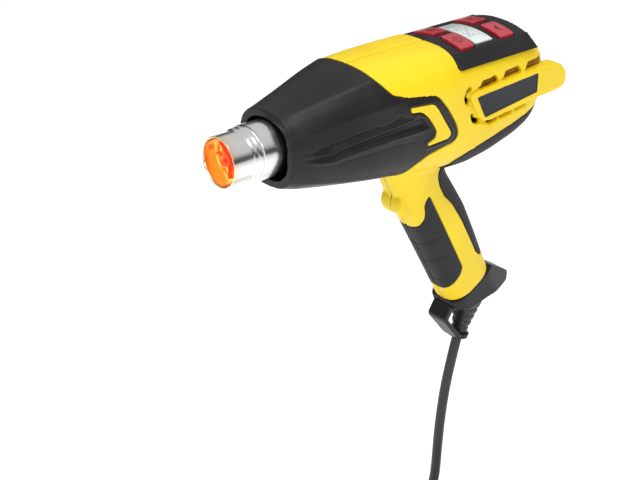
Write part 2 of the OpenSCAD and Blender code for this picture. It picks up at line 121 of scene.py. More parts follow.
# %% A wrapper for shader sockets and materials
class Signal:
    def __init__(self, finish, socket):
        self.finish = finish
        self.socket = socket

    def maths(self, operation, first, second, clamp=False):
        made = self.finish.node("ShaderNodeMath", {"operation": operation, "use_clamp": clamp},
                                {0: first, 1: second})
        return made["Value"]

    def __add__(self, other):
        return self.maths("ADD", self, other)

    def __radd__(self, other):
        return self.maths("ADD", other, self)

    def __sub__(self, other):
        return self.maths("SUBTRACT", self, other)

    def __rsub__(self, other):
        return self.maths("SUBTRACT", other, self)

    def __mul__(self, other):
        return self.maths("MULTIPLY", self, other)

    def __rmul__(self, other):
        return self.maths("MULTIPLY", other, self)

    def __pow__(self, other):
        return self.maths("POWER", self, other)

    def clamped(self):
        return self.maths("ADD", self, 0.0, clamp=True)

    def between(self, low, high):
        """0 below low, 1 above high and a smooth rise between them."""
        made = self.finish.node("ShaderNodeMapRange", {"interpolation_type": "SMOOTHSTEP"},
                                {"Value": self, "From Min": low, "From Max": high})
        return made["Result"]


class Added:
    def __init__(self, finish, node):
        self.finish = finish
        self.node = node

    def __getitem__(self, name):
        return Signal(self.finish, self.node.outputs[name])


class Finish:
    def __init__(self, name):
        self.material = bpy.data.materials.new(name)
        self.material.use_nodes = True
        self.tree = self.material.node_tree
        self.shader = self.tree.nodes["Principled BSDF"]

    def feed(self, socket, value):
        if isinstance(value, Signal):
            self.tree.links.new(value.socket, socket)
        elif isinstance(value, tuple) and len(value) == 3 and socket.type == "RGBA":
            socket.default_value = (*value, 1)
        else:
            socket.default_value = value

    def node(self, kind, settings, inputs):
        node = self.tree.nodes.new(kind)
        for name, value in settings.items():
            if name == "stops":
                ramp = node.color_ramp
                while len(ramp.elements) < len(value):
                    ramp.elements.new(0.5)
                for element, (position, colour) in zip(ramp.elements, value):
                    element.position = position
                    element.color = (*colour, 1)
            else:
                setattr(node, name, value)
        for name, value in inputs.items():
            self.feed(node.inputs[name], value)
        return Added(self, node)

    def where(self, centre=(0, 0, 0), turn=(0, 0, 0), scale=(1, 1, 1)):
        """Object coordinates, moved, turned and stretched."""
        source = self.node("ShaderNodeTexCoord", {}, {})["Object"]
        return self.node("ShaderNodeMapping", {"vector_type": "POINT"},
                         {"Vector": source, "Location": centre, "Rotation": turn, "Scale": scale})["Vector"]

    def noise(self, vector, scale, detail=2.0):
        return self.node("ShaderNodeTexNoise", {},
                         {"Vector": vector, "Scale": scale, "Detail": detail})["Fac"]

    def blend(self, factor, first, second):
        made = self.node("ShaderNodeMix", {"data_type": "RGBA"}, {})
        for index, value in ((0, factor), (6, first), (7, second)):
            self.feed(made.node.inputs[index], value)
        return Signal(self, made.node.outputs[2])

    def bump(self, height, strength, distance):
        return self.node("ShaderNodeBump", {},
                         {"Height": height, "Strength": strength, "Distance": distance})["Normal"]

    def surface(self, **sockets):
        for name, value in sockets.items():
            self.feed(self.shader.inputs[name.replace("_", " ")], value)
        return self.material


print("shader helpers ready")

# %% [markdown]
# ## Floor and light
# A pale floor carries the coiled cord, and gives off a little light of its own so that it reads
# white. The light is that of a small product studio: a large soft panel above, a low one on the
# left and a tall one in front, which draw the light bands on the steel. The room is pale overhead
# and underfoot, with a dark band between that draws the steel's dark ones. A low view sees that
# band above the floor. Area lamps were chosen over a picture of a room, because nothing is read
# from disk.

# %% Floor, room and soft panels
FLOOR_Z = cad_box[0].z
SCENE = bpy.context.scene
SCENE.view_settings.view_transform = "Standard"


def mesh_object(name, verts, faces, material=None):
    mesh = bpy.data.meshes.new(name)
    mesh.from_pydata([tuple(v) for v in verts], [], [tuple(f) for f in faces])
    mesh.validate()
    mesh.update()
    obj = bpy.data.objects.new(name, mesh)
    SCENE.collection.objects.link(obj)
    if material:
        mesh.materials.append(material)
    return obj


paper = Finish("floor_paper")
paper_grain = paper.noise(paper.where(), 300)
floor_material = paper.surface(Base_Color=(0.9, 0.9, 0.9), Roughness=0.7 + 0.1 * paper_grain,
                               Emission_Color=(1, 1, 1), Emission_Strength=0.32)
floor = mesh_object("floor", [(-60, -60, FLOOR_Z), (60, -60, FLOOR_Z), (60, 60, FLOOR_Z),
                              (-60, 60, FLOOR_Z)],
                    [(0, 1, 2, 3)], floor_material)

world = bpy.data.worlds.new("studio_room")
SCENE.world = world
world.use_nodes = True
sky = world.node_tree.nodes.new("ShaderNodeTexCoord")
sky_height = world.node_tree.nodes.new("ShaderNodeSeparateXYZ")
room_tone = world.node_tree.nodes.new("ShaderNodeValToRGB")
for step, (position, tone) in enumerate(((0.0, 0.9), (0.50, 0.03), (0.62, 0.06), (0.74, 0.85))):
    if step > 1:
        room_tone.color_ramp.elements.new(position)
    room_tone.color_ramp.elements[step].position = position
    room_tone.color_ramp.elements[step].color = (tone, tone, tone, 1)
half_height = world.node_tree.nodes.new("ShaderNodeMapRange")
half_height.inputs["From Min"].default_value = -1
world.node_tree.links.new(sky.outputs["Generated"], sky_height.inputs["Vector"])
world.node_tree.links.new(sky_height.outputs["Z"], half_height.inputs["Value"])
world.node_tree.links.new(half_height.outputs["Result"], room_tone.inputs["Fac"])
world.node_tree.links.new(room_tone.outputs["Color"], world.node_tree.nodes["Background"].inputs["Color"])
world.node_tree.nodes["Background"].inputs["Strength"].default_value = 0.8


def soft_panel(name, position, target, width, height, power):
    data = bpy.data.lights.new(name, "AREA")
    data.shape = "RECTANGLE"
    data.size = width
    data.size_y = height
    data.energy = power
    lamp = bpy.data.objects.new(name, data)
    SCENE.collection.objects.link(lamp)
    aim = (Vector(target) - Vector(position)).to_track_quat("-Z", "Y")
    lamp.matrix_world = Matrix.Translation(position) @ aim.to_matrix().to_4x4()


soft_panel("top_panel", (-0.3, -0.3, 1.9), (0, 0, 0), 1.5, 1.5, 21)
soft_panel("left_panel", (-0.6, -1.9, 0.7), (0, 0, 0.05), 1.3, 0.35, 10)
soft_panel("front_panel", (-2.0, -0.2, 0.9), (0, 0, 0.05), 0.3, 1.2, 8)
print("floor at", round(FLOOR_Z, 4))

# %% [markdown]
# ## Mains cord
# The cord is about 1.8 m of round 8 mm flex. It leaves the boot at the foot of the handle, hangs
# down to the surface, and what isn't needed is wound into a flat coil with a tie. The route is a
# list of points; the coil's points follow from its columns, because wound turns obey a rule:
# each lies one diameter from the last, three turns in on the upper layer, then down and out again.

# %% Route of the cord
CORD_D = 8.0
BOOT_TOP = (241, 0, -180)
BOOT_END = (231.5, 0, -213)
COIL_CENTRE = (180, -50)
drop = [
    (233.2, 0, -207), (231.5, 0, -213), (229, 0, -222), (226.5, 0, -232), (224, 0, -243),
    (221.5, 0, -256), (219.5, 0, -270), (218, 0, -285), (217, 0, -300), (216.5, 0, -315),
    (216, 0, -330), (215, 0, -342), (211.5, 0, -354), (205, 0, -364), (196, 0, -370.5),
    (187, 0, -373)
]
tail = [(190, -108, -381), (200, -107, -381), (210, -104.2, -380.5), (220, -101.4, -379),
        (228, -100.2, -377), (235, -100, -376)]


def rise(value, start, end):
    t = min(max((value - start) / (end - start), 0), 1)
    return t * t * (3 - 2 * t)


def coil_point(turned):
    """A point of the coil after that many degrees: inwards above, down, outwards below."""
    radius = 50 - CORD_D * (rise(turned, 300, 360) + rise(turned, 660, 720))
    radius += CORD_D * sum(rise(turned, s, s + 60) for s in (1200, 1560, 1920))
    height = -373 - CORD_D * rise(turned, 900, 1020)
    angle = math.radians(90 + turned)
    return (COIL_CENTRE[0] + radius * math.cos(angle), COIL_CENTRE[1] + radius * math.sin(angle), height)


coil = [coil_point(turned) for turned in range(4, 1981, 19)]
route = [place(*p) for p in drop + coil + tail]

cord_data = bpy.data.curves.new("mains_cord", "CURVE")
cord_data.dimensions = "3D"
cord_data.bevel_depth = CORD_D / 2000
cord_data.bevel_resolution = 4
cord_data.resolution_u = 6
cord_data.use_fill_caps = True
cord_line = cord_data.splines.new("BEZIER")
cord_line.bezier_points.add(len(route) - 1)
for point, where in zip(cord_line.bezier_points, route):
    point.co = where
    point.handle_left_type = point.handle_right_type = "AUTO"
mains_cord = bpy.data.objects.new("mains_cord", cord_data)
SCENE.collection.objects.link(mains_cord)
cord_length = sum((b - a).length for a, b in zip(route, route[1:]))
print("cord", round(cord_length, 3), "m in", len(route), "points")

# %% [markdown]
# ## The cord's plastic, its tie and its plug
# Cord and plug are soft black PVC with a slight orange-peel skin. The tie is a nylon strap. The
# plug is moulded in one piece: its body is a loft through rounded rings, which gives the waist
# and the finger grip, and the ribs of its strain relief are ridges in the same loft.

# %% Soft PVC
pvc = Finish("soft_pvc_black")
pvc_grain = pvc.noise(pvc.where(), 900)
pvc_wear = pvc.noise(pvc.where(), 30)
soft_pvc = pvc.surface(Base_Color=pvc.blend(pvc_wear, (0.016, 0.015, 0.016), (0.03, 0.028, 0.03)),
                       Roughness=0.4 + 0.15 * pvc_wear, Normal=pvc.bump(pvc_grain, 0.25, 0.0002))
cord_data.materials.append(soft_pvc)


def loft(name, rings, material=None, closed_ends=True):
    """A skin over rings of points that all have the same number of points."""
    rings = np.asarray(rings, float)
    count, around = rings.shape[0], rings.shape[1]
    faces = []
    for j in range(count - 1):
        for i in range(around):
            k = (i + 1) % around
            faces.append((j * around + i, j * around + k, (j + 1) * around + k, (j + 1) * around + i))
    if closed_ends:
        faces.append(tuple(range(around))[::-1])
        faces.append(tuple((count - 1) * around + i for i in range(around)))
    return mesh_object(name, rings.reshape(-1, 3), faces, material)


def tidy(obj, smooth_angle=35):
    """Points every face outwards and smooths the shading across gentle edges."""
    bpy.ops.object.select_all(action="DESELECT")
    bpy.context.view_layer.objects.active = obj
    obj.select_set(True)
    bpy.ops.object.mode_set(mode="EDIT")
    bpy.ops.mesh.select_all(action="SELECT")
    bpy.ops.mesh.remove_doubles(threshold=1e-6)
    bpy.ops.mesh.normals_make_consistent(inside=False)
    bpy.ops.object.mode_set(mode="OBJECT")
    obj.data.shade_smooth()
    obj.data.set_sharp_from_angle(angle=math.radians(smooth_angle))
    obj.select_set(False)
    return obj


def apply_modifiers(obj):
    """Turns what the modifiers show into the object's own plain mesh."""
    shown = obj.evaluated_get(bpy.context.evaluated_depsgraph_get())
    mesh = bpy.data.meshes.new_from_object(shown)
    obj.modifiers.clear()
    old, obj.data = obj.data, mesh
    mesh.name = obj.name
    bpy.data.meshes.remove(old)
    return obj


def softened(obj, width, segments=2):
    """Rounds an object's edges by a bevel, in millimetres."""
    bevel = obj.modifiers.new("rounded_edges", "BEVEL")
    bevel.width = width / 1000
    bevel.segments = segments
    bevel.limit_method = "ANGLE"
    bevel.angle_limit = math.radians(28)
    return apply_modifiers(obj)


# %% Plug and tie
def rounded_ring(half_width, half_height, squareness, count=40):
    angles = 2 * np.pi * np.arange(count) / count
    c, s = np.cos(angles), np.sin(angles)
    return np.stack([np.sign(c) * np.abs(c) ** (2 / squareness) * half_width,
                     np.sign(s) * np.abs(s) ** (2 / squareness) * half_height], axis=1)


plug_rings = []
for along in np.linspace(0, 44, 89):
    half_w = np.interp(along, [0, 14, 22, 30, 40, 44], [5, 5.6, 11.6, 10.6, 11.8, 10.6])
    half_h = np.interp(along, [0, 14, 22, 30, 40, 44], [4.8, 5.2, 8.6, 7.4, 8.8, 8])
    if along < 15:
        half_w = half_w + 0.45 * math.sin(along * math.pi / 1.5)
        half_h = half_h + 0.45 * math.sin(along * math.pi / 1.5)
    ring = rounded_ring(half_w, half_h, np.interp(along, [0, 14, 22], [2, 2.2, 3.4]))
    plug_rings.append([(231 + along, -100 + y, -376 + z) for y, z in ring])
plug = tidy(loft("mains_plug", place_all(plug_rings), soft_pvc), 50)
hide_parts("plug_body")
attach(plug, "gun_body")

tie_rings = []
for angle in np.linspace(0, 2 * np.pi, 49)[:-1]:
    u, v = rounded_ring(13.3, 9.0, 5.0, 48)[int(round(angle / (2 * np.pi) * 48)) % 48]
    tie_rings.append((u, v))
tie_outer = np.array(tie_rings)
tie_points = []
for half_along, grow in ((-5, 0), (-5, 0.9), (5, 0.9), (5, 0)):
    scale = 1 + grow / 11
    for u, v in tie_outer:
        a = math.radians(215)
        radial = 42 + u * scale
        x = COIL_CENTRE[0] + radial * math.cos(a) - half_along * math.sin(a)
        y = COIL_CENTRE[1] + radial * math.sin(a) + half_along * math.cos(a)
        tie_points.append((x, y, max(-377 + v * scale, -385)))
count = len(tie_outer)
tie_faces = [(j * count + i, j * count + (i + 1) % count, ((j + 1) % 4) * count + (i + 1) % count,
              ((j + 1) % 4) * count + i) for j in range(4) for i in range(count)]
nylon = Finish("tie_nylon")
nylon_grain = nylon.noise(nylon.where(), 700)
dark_nylon = nylon.surface(Base_Color=(0.02, 0.02, 0.021), Roughness=0.38 + 0.2 * nylon_grain,
                           Normal=nylon.bump(nylon_grain, 0.15, 0.0002))
tie = tidy(mesh_object("coil_tie", place_all(tie_points), tie_faces, dark_nylon))
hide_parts("cord_tie")
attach(tie, "gun_body")

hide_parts("power_cord", "cord_coil")
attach(mains_cord, "gun_body")
place(*BOOT_END)

# %% [markdown]
# ## Tools for moulded plastic
# The shell is injection moulded, so its forms are swept sections with rounded edges. Each form
# starts as a loft through superellipse rings, outlines are cut with flat prisms, and a voxel
# remesh followed by a light smooth then gives every cut edge the small radius of a mould.
# Subdivision modelling could do it too, but cuts through a curved wall are cleaner this way.

# %% Forms: rings, prisms and cuts
import bmesh

BARREL = np.array([
    (38, 26.5, 24.3, -25.2, 2.7), (45, 28, 26, -27.8, 2.8), (60, 30.6, 29.8, -30.5, 2.9),
    (85, 34.8, 37, -34.5, 3), (105, 38, 42, -37.5, 3), (125, 39.5, 42.8, -40, 3),
    (145, 39.5, 42.8, -43.5, 3.2), (170, 39, 42.5, -46, 3.4), (195, 38.5, 42, -45.5, 3.6),
    (215, 38, 41.2, -43, 3.6), (240, 37, 40, -37, 3.6), (256, 36.5, 38, -31, 3.4),
    (264, 34, 33, -25, 3.2), (269.5, 29, 26.5, -18, 3)
])
HANDLE = np.array([
    (-184, -22.4, 21.4, 16.8, 2.6), (-170, -22.5, 21.8, 17, 2.6), (-145, -22.7, 23.2, 17.4, 2.6),
    (-115, -23.3, 24.2, 17.6, 2.6), (-95, -23.8, 22.6, 17.2, 2.6), (-76, -24, 20.8, 17, 2.6),
    (-62, -24, 23.6, 17.6, 2.6), (-45, -23.4, 28.5, 19.5, 2.6), (-25, -25, 32, 23, 2.6)
])
RAKE = math.radians(29)


def outward(obj):
    """Turns a closed skin the right way out."""
    work = bmesh.new()
    work.from_mesh(obj.data)
    if work.calc_volume(signed=True) < 0:
        bmesh.ops.reverse_faces(work, faces=work.faces)
        work.to_mesh(obj.data)
    work.free()
    return obj


def at_station(table, where, spread=3.5):
    """A row of sizes at any place along a table of stations, eased over a few millimetres."""
    offsets = np.linspace(-2, 2, 9) * spread
    weights = np.exp(-0.5 * (offsets / spread) ** 2)
    rows = [np.interp(np.clip(where + o, table[0, 0], table[-1, 0]), table[:, 0], table[:, k])
            for o in offsets for k in range(1, 5)]
    return (np.array(rows).reshape(-1, 4) * weights[:, None]).sum(axis=0) / weights.sum()


def even_ring(half_width, half_height, squareness, count):
    """A rounded ring with its points the same distance apart."""
    dense = rounded_ring(half_width, half_height, squareness, 1440)
    closed = np.vstack([dense, dense[:1]])
    run = np.concatenate([[0], np.cumsum(np.linalg.norm(np.diff(closed, axis=0), axis=1))])
    wanted = np.linspace(0, run[-1], count + 1)[:-1]
    return np.stack([np.interp(wanted, run, closed[:, k]) for k in (0, 1)], axis=1)


def barrel_form(name, inset, start=38.0, end=269.5, step=1.0, around=240, shaping=None):
    rings = []
    for x in np.linspace(start, end, int((end - start) / step) + 1):
        half_w, top, bottom, square = at_station(BARREL, x)
        inset_here = inset(x) if callable(inset) else inset
        flat = even_ring(half_w - inset_here, (top - bottom) / 2 - inset_here, square, around)
        rings.append([(x, y, (top + bottom) / 2 + z) for y, z in flat])
    rings = np.array(rings)
    if shaping:
        grow = np.roll(rings, -1, axis=1) - np.roll(rings, 1, axis=1)
        normal = np.stack([np.zeros_like(grow[..., 0]), grow[..., 2], -grow[..., 1]], axis=-1)
        normal /= np.linalg.norm(normal, axis=-1, keepdims=True)
        rings = rings + normal * shaping(rings)[..., None]
    return outward(loft(name, place_all(rings)))


def handle_point(along, across, up):
    """A point in the leaning handle's own side view, in barrel millimetres."""
    x = 142 + along * math.cos(RAKE) - up * math.sin(RAKE)
    return np.array([x, across, along * math.sin(RAKE) + up * math.cos(RAKE)])


def handle_form(name, inset, low=-184.0, high=-25.0, step=1.0, around=150, shaping=None):
    rings = []
    for up in np.linspace(low, high, int((high - low) / step) + 1):
        front, back, half_w, square = at_station(HANDLE, up)
        flat = even_ring((back - front) / 2 - inset, half_w - inset, square, around)
        local = np.array([((front + back) / 2 + a, b, up) for a, b in flat])
        if shaping is not None:
            normal = np.roll(local, -1, axis=0) - np.roll(local, 1, axis=0)
            normal = np.stack([normal[:, 1], -normal[:, 0], np.zeros(len(normal))], axis=1)
            normal /= np.linalg.norm(normal, axis=1, keepdims=True)
            local = local + normal * shaping(local)[:, None]
        rings.append([handle_point(*p) for p in local])
    return outward(loft(name, place_all(rings)))


def side_prism(name, outline, from_y, to_y, in_handle=False):
    """A flat plate with a side-view outline, between two places across the gun."""
    outline = [tuple(p) for p in outline]
    count = len(outline)
    turn = sum(a[0] * b[1] - b[0] * a[1] for a, b in zip(outline, outline[1:] + outline[:1]))
    if turn < 0:
        outline.reverse()
    points = [(a, y, b) for y in (from_y, to_y) for a, b in outline]
    if in_handle:
        points = [handle_point(*p) for p in points]
    faces = [tuple(range(count)), tuple(range(2 * count - 1, count - 1, -1))]
    faces += [(i, i + count, (i + 1) % count + count, (i + 1) % count) for i in range(count)]
    return outward(mesh_object(name, place_all(points), faces))


def box_form(name, low, high):
    outline = [(low[0], low[2]), (high[0], low[2]), (high[0], high[2]), (low[0], high[2])]
    return side_prism(name, outline, low[1], high[1])


def across_rod(name, place_xz, from_y, to_y, radius, sides=40, in_handle=False):
    angles = [2 * math.pi * i / sides for i in range(sides)]
    outline = [(place_xz[0] + radius * math.cos(a), place_xz[1] + radius * math.sin(a)) for a in angles]
    return side_prism(name, outline, from_y, to_y, in_handle)


def grown(outline, by):
    """A side-view outline moved outwards by a distance."""
    points = np.array(outline, float)
    turn = np.sum(points[:, 0] * np.roll(points[:, 1], -1) - np.roll(points[:, 0], -1) * points[:, 1])
    before, after = points - np.roll(points, 1, axis=0), np.roll(points, -1, axis=0) - points
    before /= np.linalg.norm(before, axis=1, keepdims=True)
    after /= np.linalg.norm(after, axis=1, keepdims=True)
    side = np.sign(turn)
    first = np.stack([before[:, 1], -before[:, 0]], axis=1) * side
    second = np.stack([after[:, 1], -after[:, 0]], axis=1) * side
    mitre = first + second
    mitre /= np.maximum((mitre * first).sum(axis=1, keepdims=True), 0.5)
    return [tuple(p) for p in points + mitre * by]


def combine(obj, other, operation):
    """Adds, cuts or keeps the overlap of two solids; the second one is used up."""
    step = obj.modifiers.new("solid", "BOOLEAN")
    step.operation = operation
    step.solver = "MANIFOLD"
    step.object = other
    apply_modifiers(obj)
    bpy.data.objects.remove(other)
    return obj


def moulded(obj, voxel, rounds=4, keep=None):
    """Remeshes a solid on a fine grid and smooths it, so that its edges get a mould's radius."""
    remesh = obj.modifiers.new("grid", "REMESH")
    remesh.mode = "VOXEL"
    remesh.voxel_size = voxel / 1000
    remesh.use_smooth_shade = True
    smooth = obj.modifiers.new("ease", "SMOOTH")
    smooth.factor = 0.5
    smooth.iterations = rounds
    apply_modifiers(obj)
    obj.data.shade_smooth()
    print(obj.name, len(obj.data.polygons), "faces")
    return obj


def as_piece(obj, material, body, slot, *stands_for):
    obj.data.materials.clear()
    obj.data.materials.append(material)
    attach(obj, body)
    if stands_for:
        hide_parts(*stands_for)
    return obj


def polyline_distance(points, line):
    """Distance of many points to a line of points, and how far along the nearest place is."""
    points, line = np.asarray(points, float), np.asarray(line, float)
    best = np.full(points.shape[:-1], 1e9)
    place_along = np.zeros(points.shape[:-1])
    steps = np.linalg.norm(np.diff(line, axis=0), axis=1)
    start = 0.0
    for a, b, length in zip(line[:-1], line[1:], steps):
        t = np.clip(((points - a) @ (b - a)) / length ** 2, 0, 1)
        gap = np.linalg.norm(points - (a + t[..., None] * (b - a)), axis=-1)
        nearer = gap < best
        best = np.where(nearer, gap, best)
        place_along = np.where(nearer, start + t * length, place_along)
        start += length
    return best, place_along / start


def inside(points, outline):
    """True where side-view points lie inside an outline."""
    x, z = points[..., 0], points[..., 1]
    found = np.zeros(x.shape, bool)
    for (x0, z0), (x1, z1) in zip(outline, list(outline[1:]) + [outline[0]]):
        crosses = (z0 > z) != (z1 > z)
        with np.errstate(divide="ignore", invalid="ignore"):
            found ^= crosses & (x < (x1 - x0) * (z - z0) / (z1 - z0 if z1 != z0 else 1e-9) + x0)
    return found


def ridge(points, line, height, width):
    """A soft raised line that fades at both ends; a negative height makes a groove."""
    gap, along = polyline_distance(points, line)
    fade = np.clip(np.minimum(along, 1 - along) / 0.12, 0, 1)
    return height * np.exp(-(gap / width) ** 2) * fade


def field(points, outline, depth, edge):
    """A region raised or lowered by a depth, with a sloping edge of a given width."""
    gap, _ = polyline_distance(points, list(outline) + [outline[0]])
    t = np.clip(gap / edge, 0, 1)
    return np.where(inside(points, outline), depth * t * t * (3 - 2 * t), 0)


print("form helpers ready")

# %% [markdown]
# ## Moulded plastics
# The nose and the panel are a dark charcoal nylon with a fine spark-eroded grain; the housing is
# the same kind of plastic in yellow. The grain is one small bump from a fine noise, and a slow
# noise drifts the colour and the gloss a little, as handling does. Edges carry no wear.

# %% Charcoal and yellow plastic
def moulded_plastic(name, deep, pale, gloss, grain_scale, grain_strength, shine=0.5):
    plastic = Finish(name)
    place_on = plastic.where()
    slow = plastic.noise(place_on, 22, 3)
    grain = plastic.noise(place_on, grain_scale, 3)
    colour = plastic.blend(slow.between(0.35, 0.7), deep, pale)
    return plastic.surface(Base_Color=colour, Roughness=(gloss + 0.12 * slow + 0.1 * grain).clamped(),
                           Normal=plastic.bump(grain, grain_strength, 0.0002), Specular_IOR_Level=shine)


charcoal_plastic = moulded_plastic("charcoal_nylon", (0.0055, 0.0045, 0.005), (0.011, 0.009, 0.0095),
                                   0.28, 1500, 0.3, 0.3)
yellow_plastic = moulded_plastic("yellow_nylon", (0.84, 0.60, 0.005), (0.90, 0.66, 0.008), 0.3, 1300,
                                 0.16, 0.4)

# %% [markdown]
# ## Nose shroud
# A tapering sleeve with a rounded-square mouth. On each side two long flutes run back from a
# common point towards the yellow crescent, with a recessed wedge above them and soft facet lines
# over and under. All of them are heights added to the loft's points, which a sculptor would do by
# hand; written as lines and regions they stay exact and the same on both sides.

# %% Flutes, facets and borders as heights
UPPER_FLUTE = [(43, 0.6), (55, -0.8), (66.6, -1.5), (76, 1.3), (90.7, 3.4), (107.5, 5.7), (122, 6.8),
               (131.7, 7.8), (139, 8.2)]
LOWER_FLUTE = [(43, -3), (59, -6.6), (68.6, -7.3), (79, -5.4), (95.3, -3.7), (112.5, -2.3), (131, -2.3),
               (147, -3)]
WEDGE_TOP = [(51, 3), (66.6, 5.5), (82.6, 8), (99, 9.8), (112, 10.6), (116.5, 11.8), (117.5, 13.4)]
CRESCENT = [
    (128, 16.1), (148, 14), (150.5, 12.6), (154, 8.6), (161.2, -2.1), (167.2, -10.5), (167.2, -13),
    (164.5, -14.8), (146, -15.2), (145, -13.4), (152.4, -10.8), (153, -6.1), (148.8, 0.4),
    (144.4, 5.6), (140, 9.7), (136, 11.6), (128.5, 12.6)
]


def shroud_relief(rings):
    side = rings[..., [0, 2]]
    whole = np.abs(rings)
    whole[..., 2] = rings[..., 2]
    height = ridge(side, UPPER_FLUTE, 1.0, 1.0) + ridge(side, LOWER_FLUTE, 1.0, 1.0)
    height += ridge(side, [(70, -9.6), (95, -8), (115, -7), (137, -8)], -0.5, 0.6)
    height += ridge(side, [(72, -7.2), (95, -5.9), (115, -4.9), (137, -5.9)], 0.3, 0.6)
    height += ridge(side, WEDGE_TOP, 0.35, 1.0)
    wedge = WEDGE_TOP + [(x, z + 1.3) for x, z in UPPER_FLUTE[1:8]][::-1]
    channel = [(x, z - 1.2) for x, z in UPPER_FLUTE] + [(x, z + 1.2) for x, z in LOWER_FLUTE][::-1]
    height += field(side, wedge, -1.9, 2.2) + field(side, channel, -2.2, 2.0)
    height += ridge(whole, [(44.5, 15, 24), (66.6, 19, 29), (84, 23, 33), (101.4, 25.8, 36.2),
                            (118, 27, 37)], 0.7, 3.2)
    height += ridge(whole, [(38.4, 24.4, 13), (66, 29.2, 18), (91.4, 34.2, 20), (122, 37.6, 21)], 0.6, 3.2)
    height += ridge(whole, [(45.5, 25, -18), (78, 27, -26), (112, 30, -31), (134, 31, -33)], 0.8, 3.0)
    height += field(side, grown(CRESCENT, 3.2), 0.55, 1.6)
    return np.where(np.abs(rings[..., 1]) > 12, height, 0)


SHROUD_OUTLINE = [
    (30, 60), (104, 60), (104, 45), (106, 37), (115, 26.5), (126.5, 22.7), (147, 19.4),
    (152, 18.4), (156, 15.5), (165, 5), (172.5, -6), (175.3, -12.5), (175, -16.3),
    (171.4, -19.2), (160, -20.4), (147, -23), (138, -28), (133, -35), (132, -60), (30, -60)
]


def eased_outline(outline, radius=2.2):
    """Cuts each corner of an outline into a short curve."""
    points = np.array(outline, float)
    result = []
    for before, corner, after in zip(np.roll(points, 1, axis=0), points, np.roll(points, -1, axis=0)):
        reach_in = min(radius, 0.45 * np.linalg.norm(corner - before))
        reach_out = min(radius, 0.45 * np.linalg.norm(after - corner))
        start = corner + (before - corner) / np.linalg.norm(before - corner) * reach_in
        end = corner + (after - corner) / np.linalg.norm(after - corner) * reach_out
        result += [tuple((1 - t) ** 2 * start + 2 * t * (1 - t) * corner + t * t * end) for t in (0, 0.33,
            0.67, 1)]
    return result


shroud = barrel_form("nose_shroud_skin", 0, end=180, step=0.8, around=300, shaping=shroud_relief)
combine(shroud, side_prism("rear_edge", eased_outline(SHROUD_OUTLINE), -60, 60), "INTERSECT")
shroud_core = barrel_form("shroud_core", lambda x: 3.6 + 1.6 * math.exp(-((x - 38) / 4) ** 2), start=37.9,
                          end=181, step=2, around=120)
combine(shroud, shroud_core, "DIFFERENCE")
for side in (-1, 1):
    gap_outline = eased_outline(grown(CRESCENT, 0.35), 1.2)
    window = side_prism("window", gap_outline, min(side * 60, side * 25), max(side * 60, side * 25))
    combine(shroud, window, "DIFFERENCE")
moulded(shroud, 0.8, 3)
as_piece(shroud, charcoal_plastic, "gun_body", "charcoal_plastic", "nose_shroud")

# %% [markdown]
# ## Yellow crescents
# A hooked inlay sits in a window of the shroud on each side. It is the barrel's own skin, half a
# millimetre proud, kept only inside the crescent's outline.

# %% Crescents
for side, word in ((-1, "left"), (1, "right")):
    crescent = barrel_form("crescent_" + word, -0.55, start=122, end=172, step=1, around=240)
    core = barrel_form("core", 2.0, start=121, end=173, step=2, around=120)
    combine(crescent, core, "DIFFERENCE")
    keep = side_prism("keep", eased_outline(CRESCENT, 1.0), min(side * 60, side * 25),
                      max(side * 60, side * 25))
    combine(crescent, keep, "INTERSECT")
    moulded(crescent, 0.4, 2)
    as_piece(crescent, yellow_plastic, "gun_body", "yellow_plastic", "accent_" + word)

# %% [markdown]
# ## Yellow housing
# Two mirrored mouldings screwed together along the middle plane. They carry the barrel's rear,
# the handle, a knuckle that stops the finger, a raised bar with the nameplate on each side, and
# rubber set into pockets. The whole body is made once and then parted into halves with a hair's
# gap, so that the remesh rounds both edges and the real joint line appears by itself.

# %% Housing as one body
BAR = [
    (185.5, 9.5), (188.5, 4), (196, -8), (201, -11.6), (207, -12.4), (256, -7.6), (279, -6.6),
    (285, -4), (286.3, 0), (285.6, 6), (279, 12.6), (274, 14.4), (256, 14.4), (192, 12)
]
NAMEPLATE = [(192.3, 7.8), (254.6, 11), (254.8, -3), (201.6, -8.9)]
SLOT = [(0, 0), (1.5, 3.8), (15, 4.6), (17.5, 0.8)]
SLOT_STARTS = [(196.5, 13.2), (220.5, 14.6), (244.5, 15.6)]
NOTCHES = [
    [(185.6, 16.4), (181.6, 14.8), (179.9, 10), (181.6, 5.6), (185, 3.9), (186, 6.2), (183.9, 8.2),
     (183.3, 11), (184.4, 13.2), (187, 14)],
    [(187.2, -3.4), (188.6, -8.2), (192.2, -11.4), (197.4, -12.2), (197, -10.2), (193, -8.6),
     (190.8, -6.4), (189.2, -3)],
    [(207, -15.4), (215.6, -14.6), (217, -12.6), (205.6, -13.6)],
    [(219.6, -14.2), (231.4, -13.1), (233, -11.2), (218.4, -12.4)],
    [(235.6, -12.7), (247, -11.6), (248.8, -9.8), (234.2, -11)]
]
GRIP = [
    (-5.5, -75), (-11, -78), (-13, -83), (-14, -88), (-17, -93), (-22, -97), (-40, -97),
    (-40, -171), (-22, -169), (-14, -164), (-8, -160), (-5, -156)
]
BACK = [
    (40, -80), (24, -73), (18, -67), (11, -65), (7.5, -68), (6, -76), (6, -87), (9.5, -98), (11.5, -119),
    (12, -156), (14, -163), (18, -166), (40, -166)
]
BARREL_BOSSES = [(200, -33, 32), (255, -12, 31)]
HANDLE_BOSSES = [(1, -68, 15), (3, -112, 15), (4, -158, 15)]


def rounded_tail(x):
    t = min(max((x - 261) / 8.5, 0), 1)
    return 5.0 * (1 - math.sqrt(1 - 0.96 * t * t))


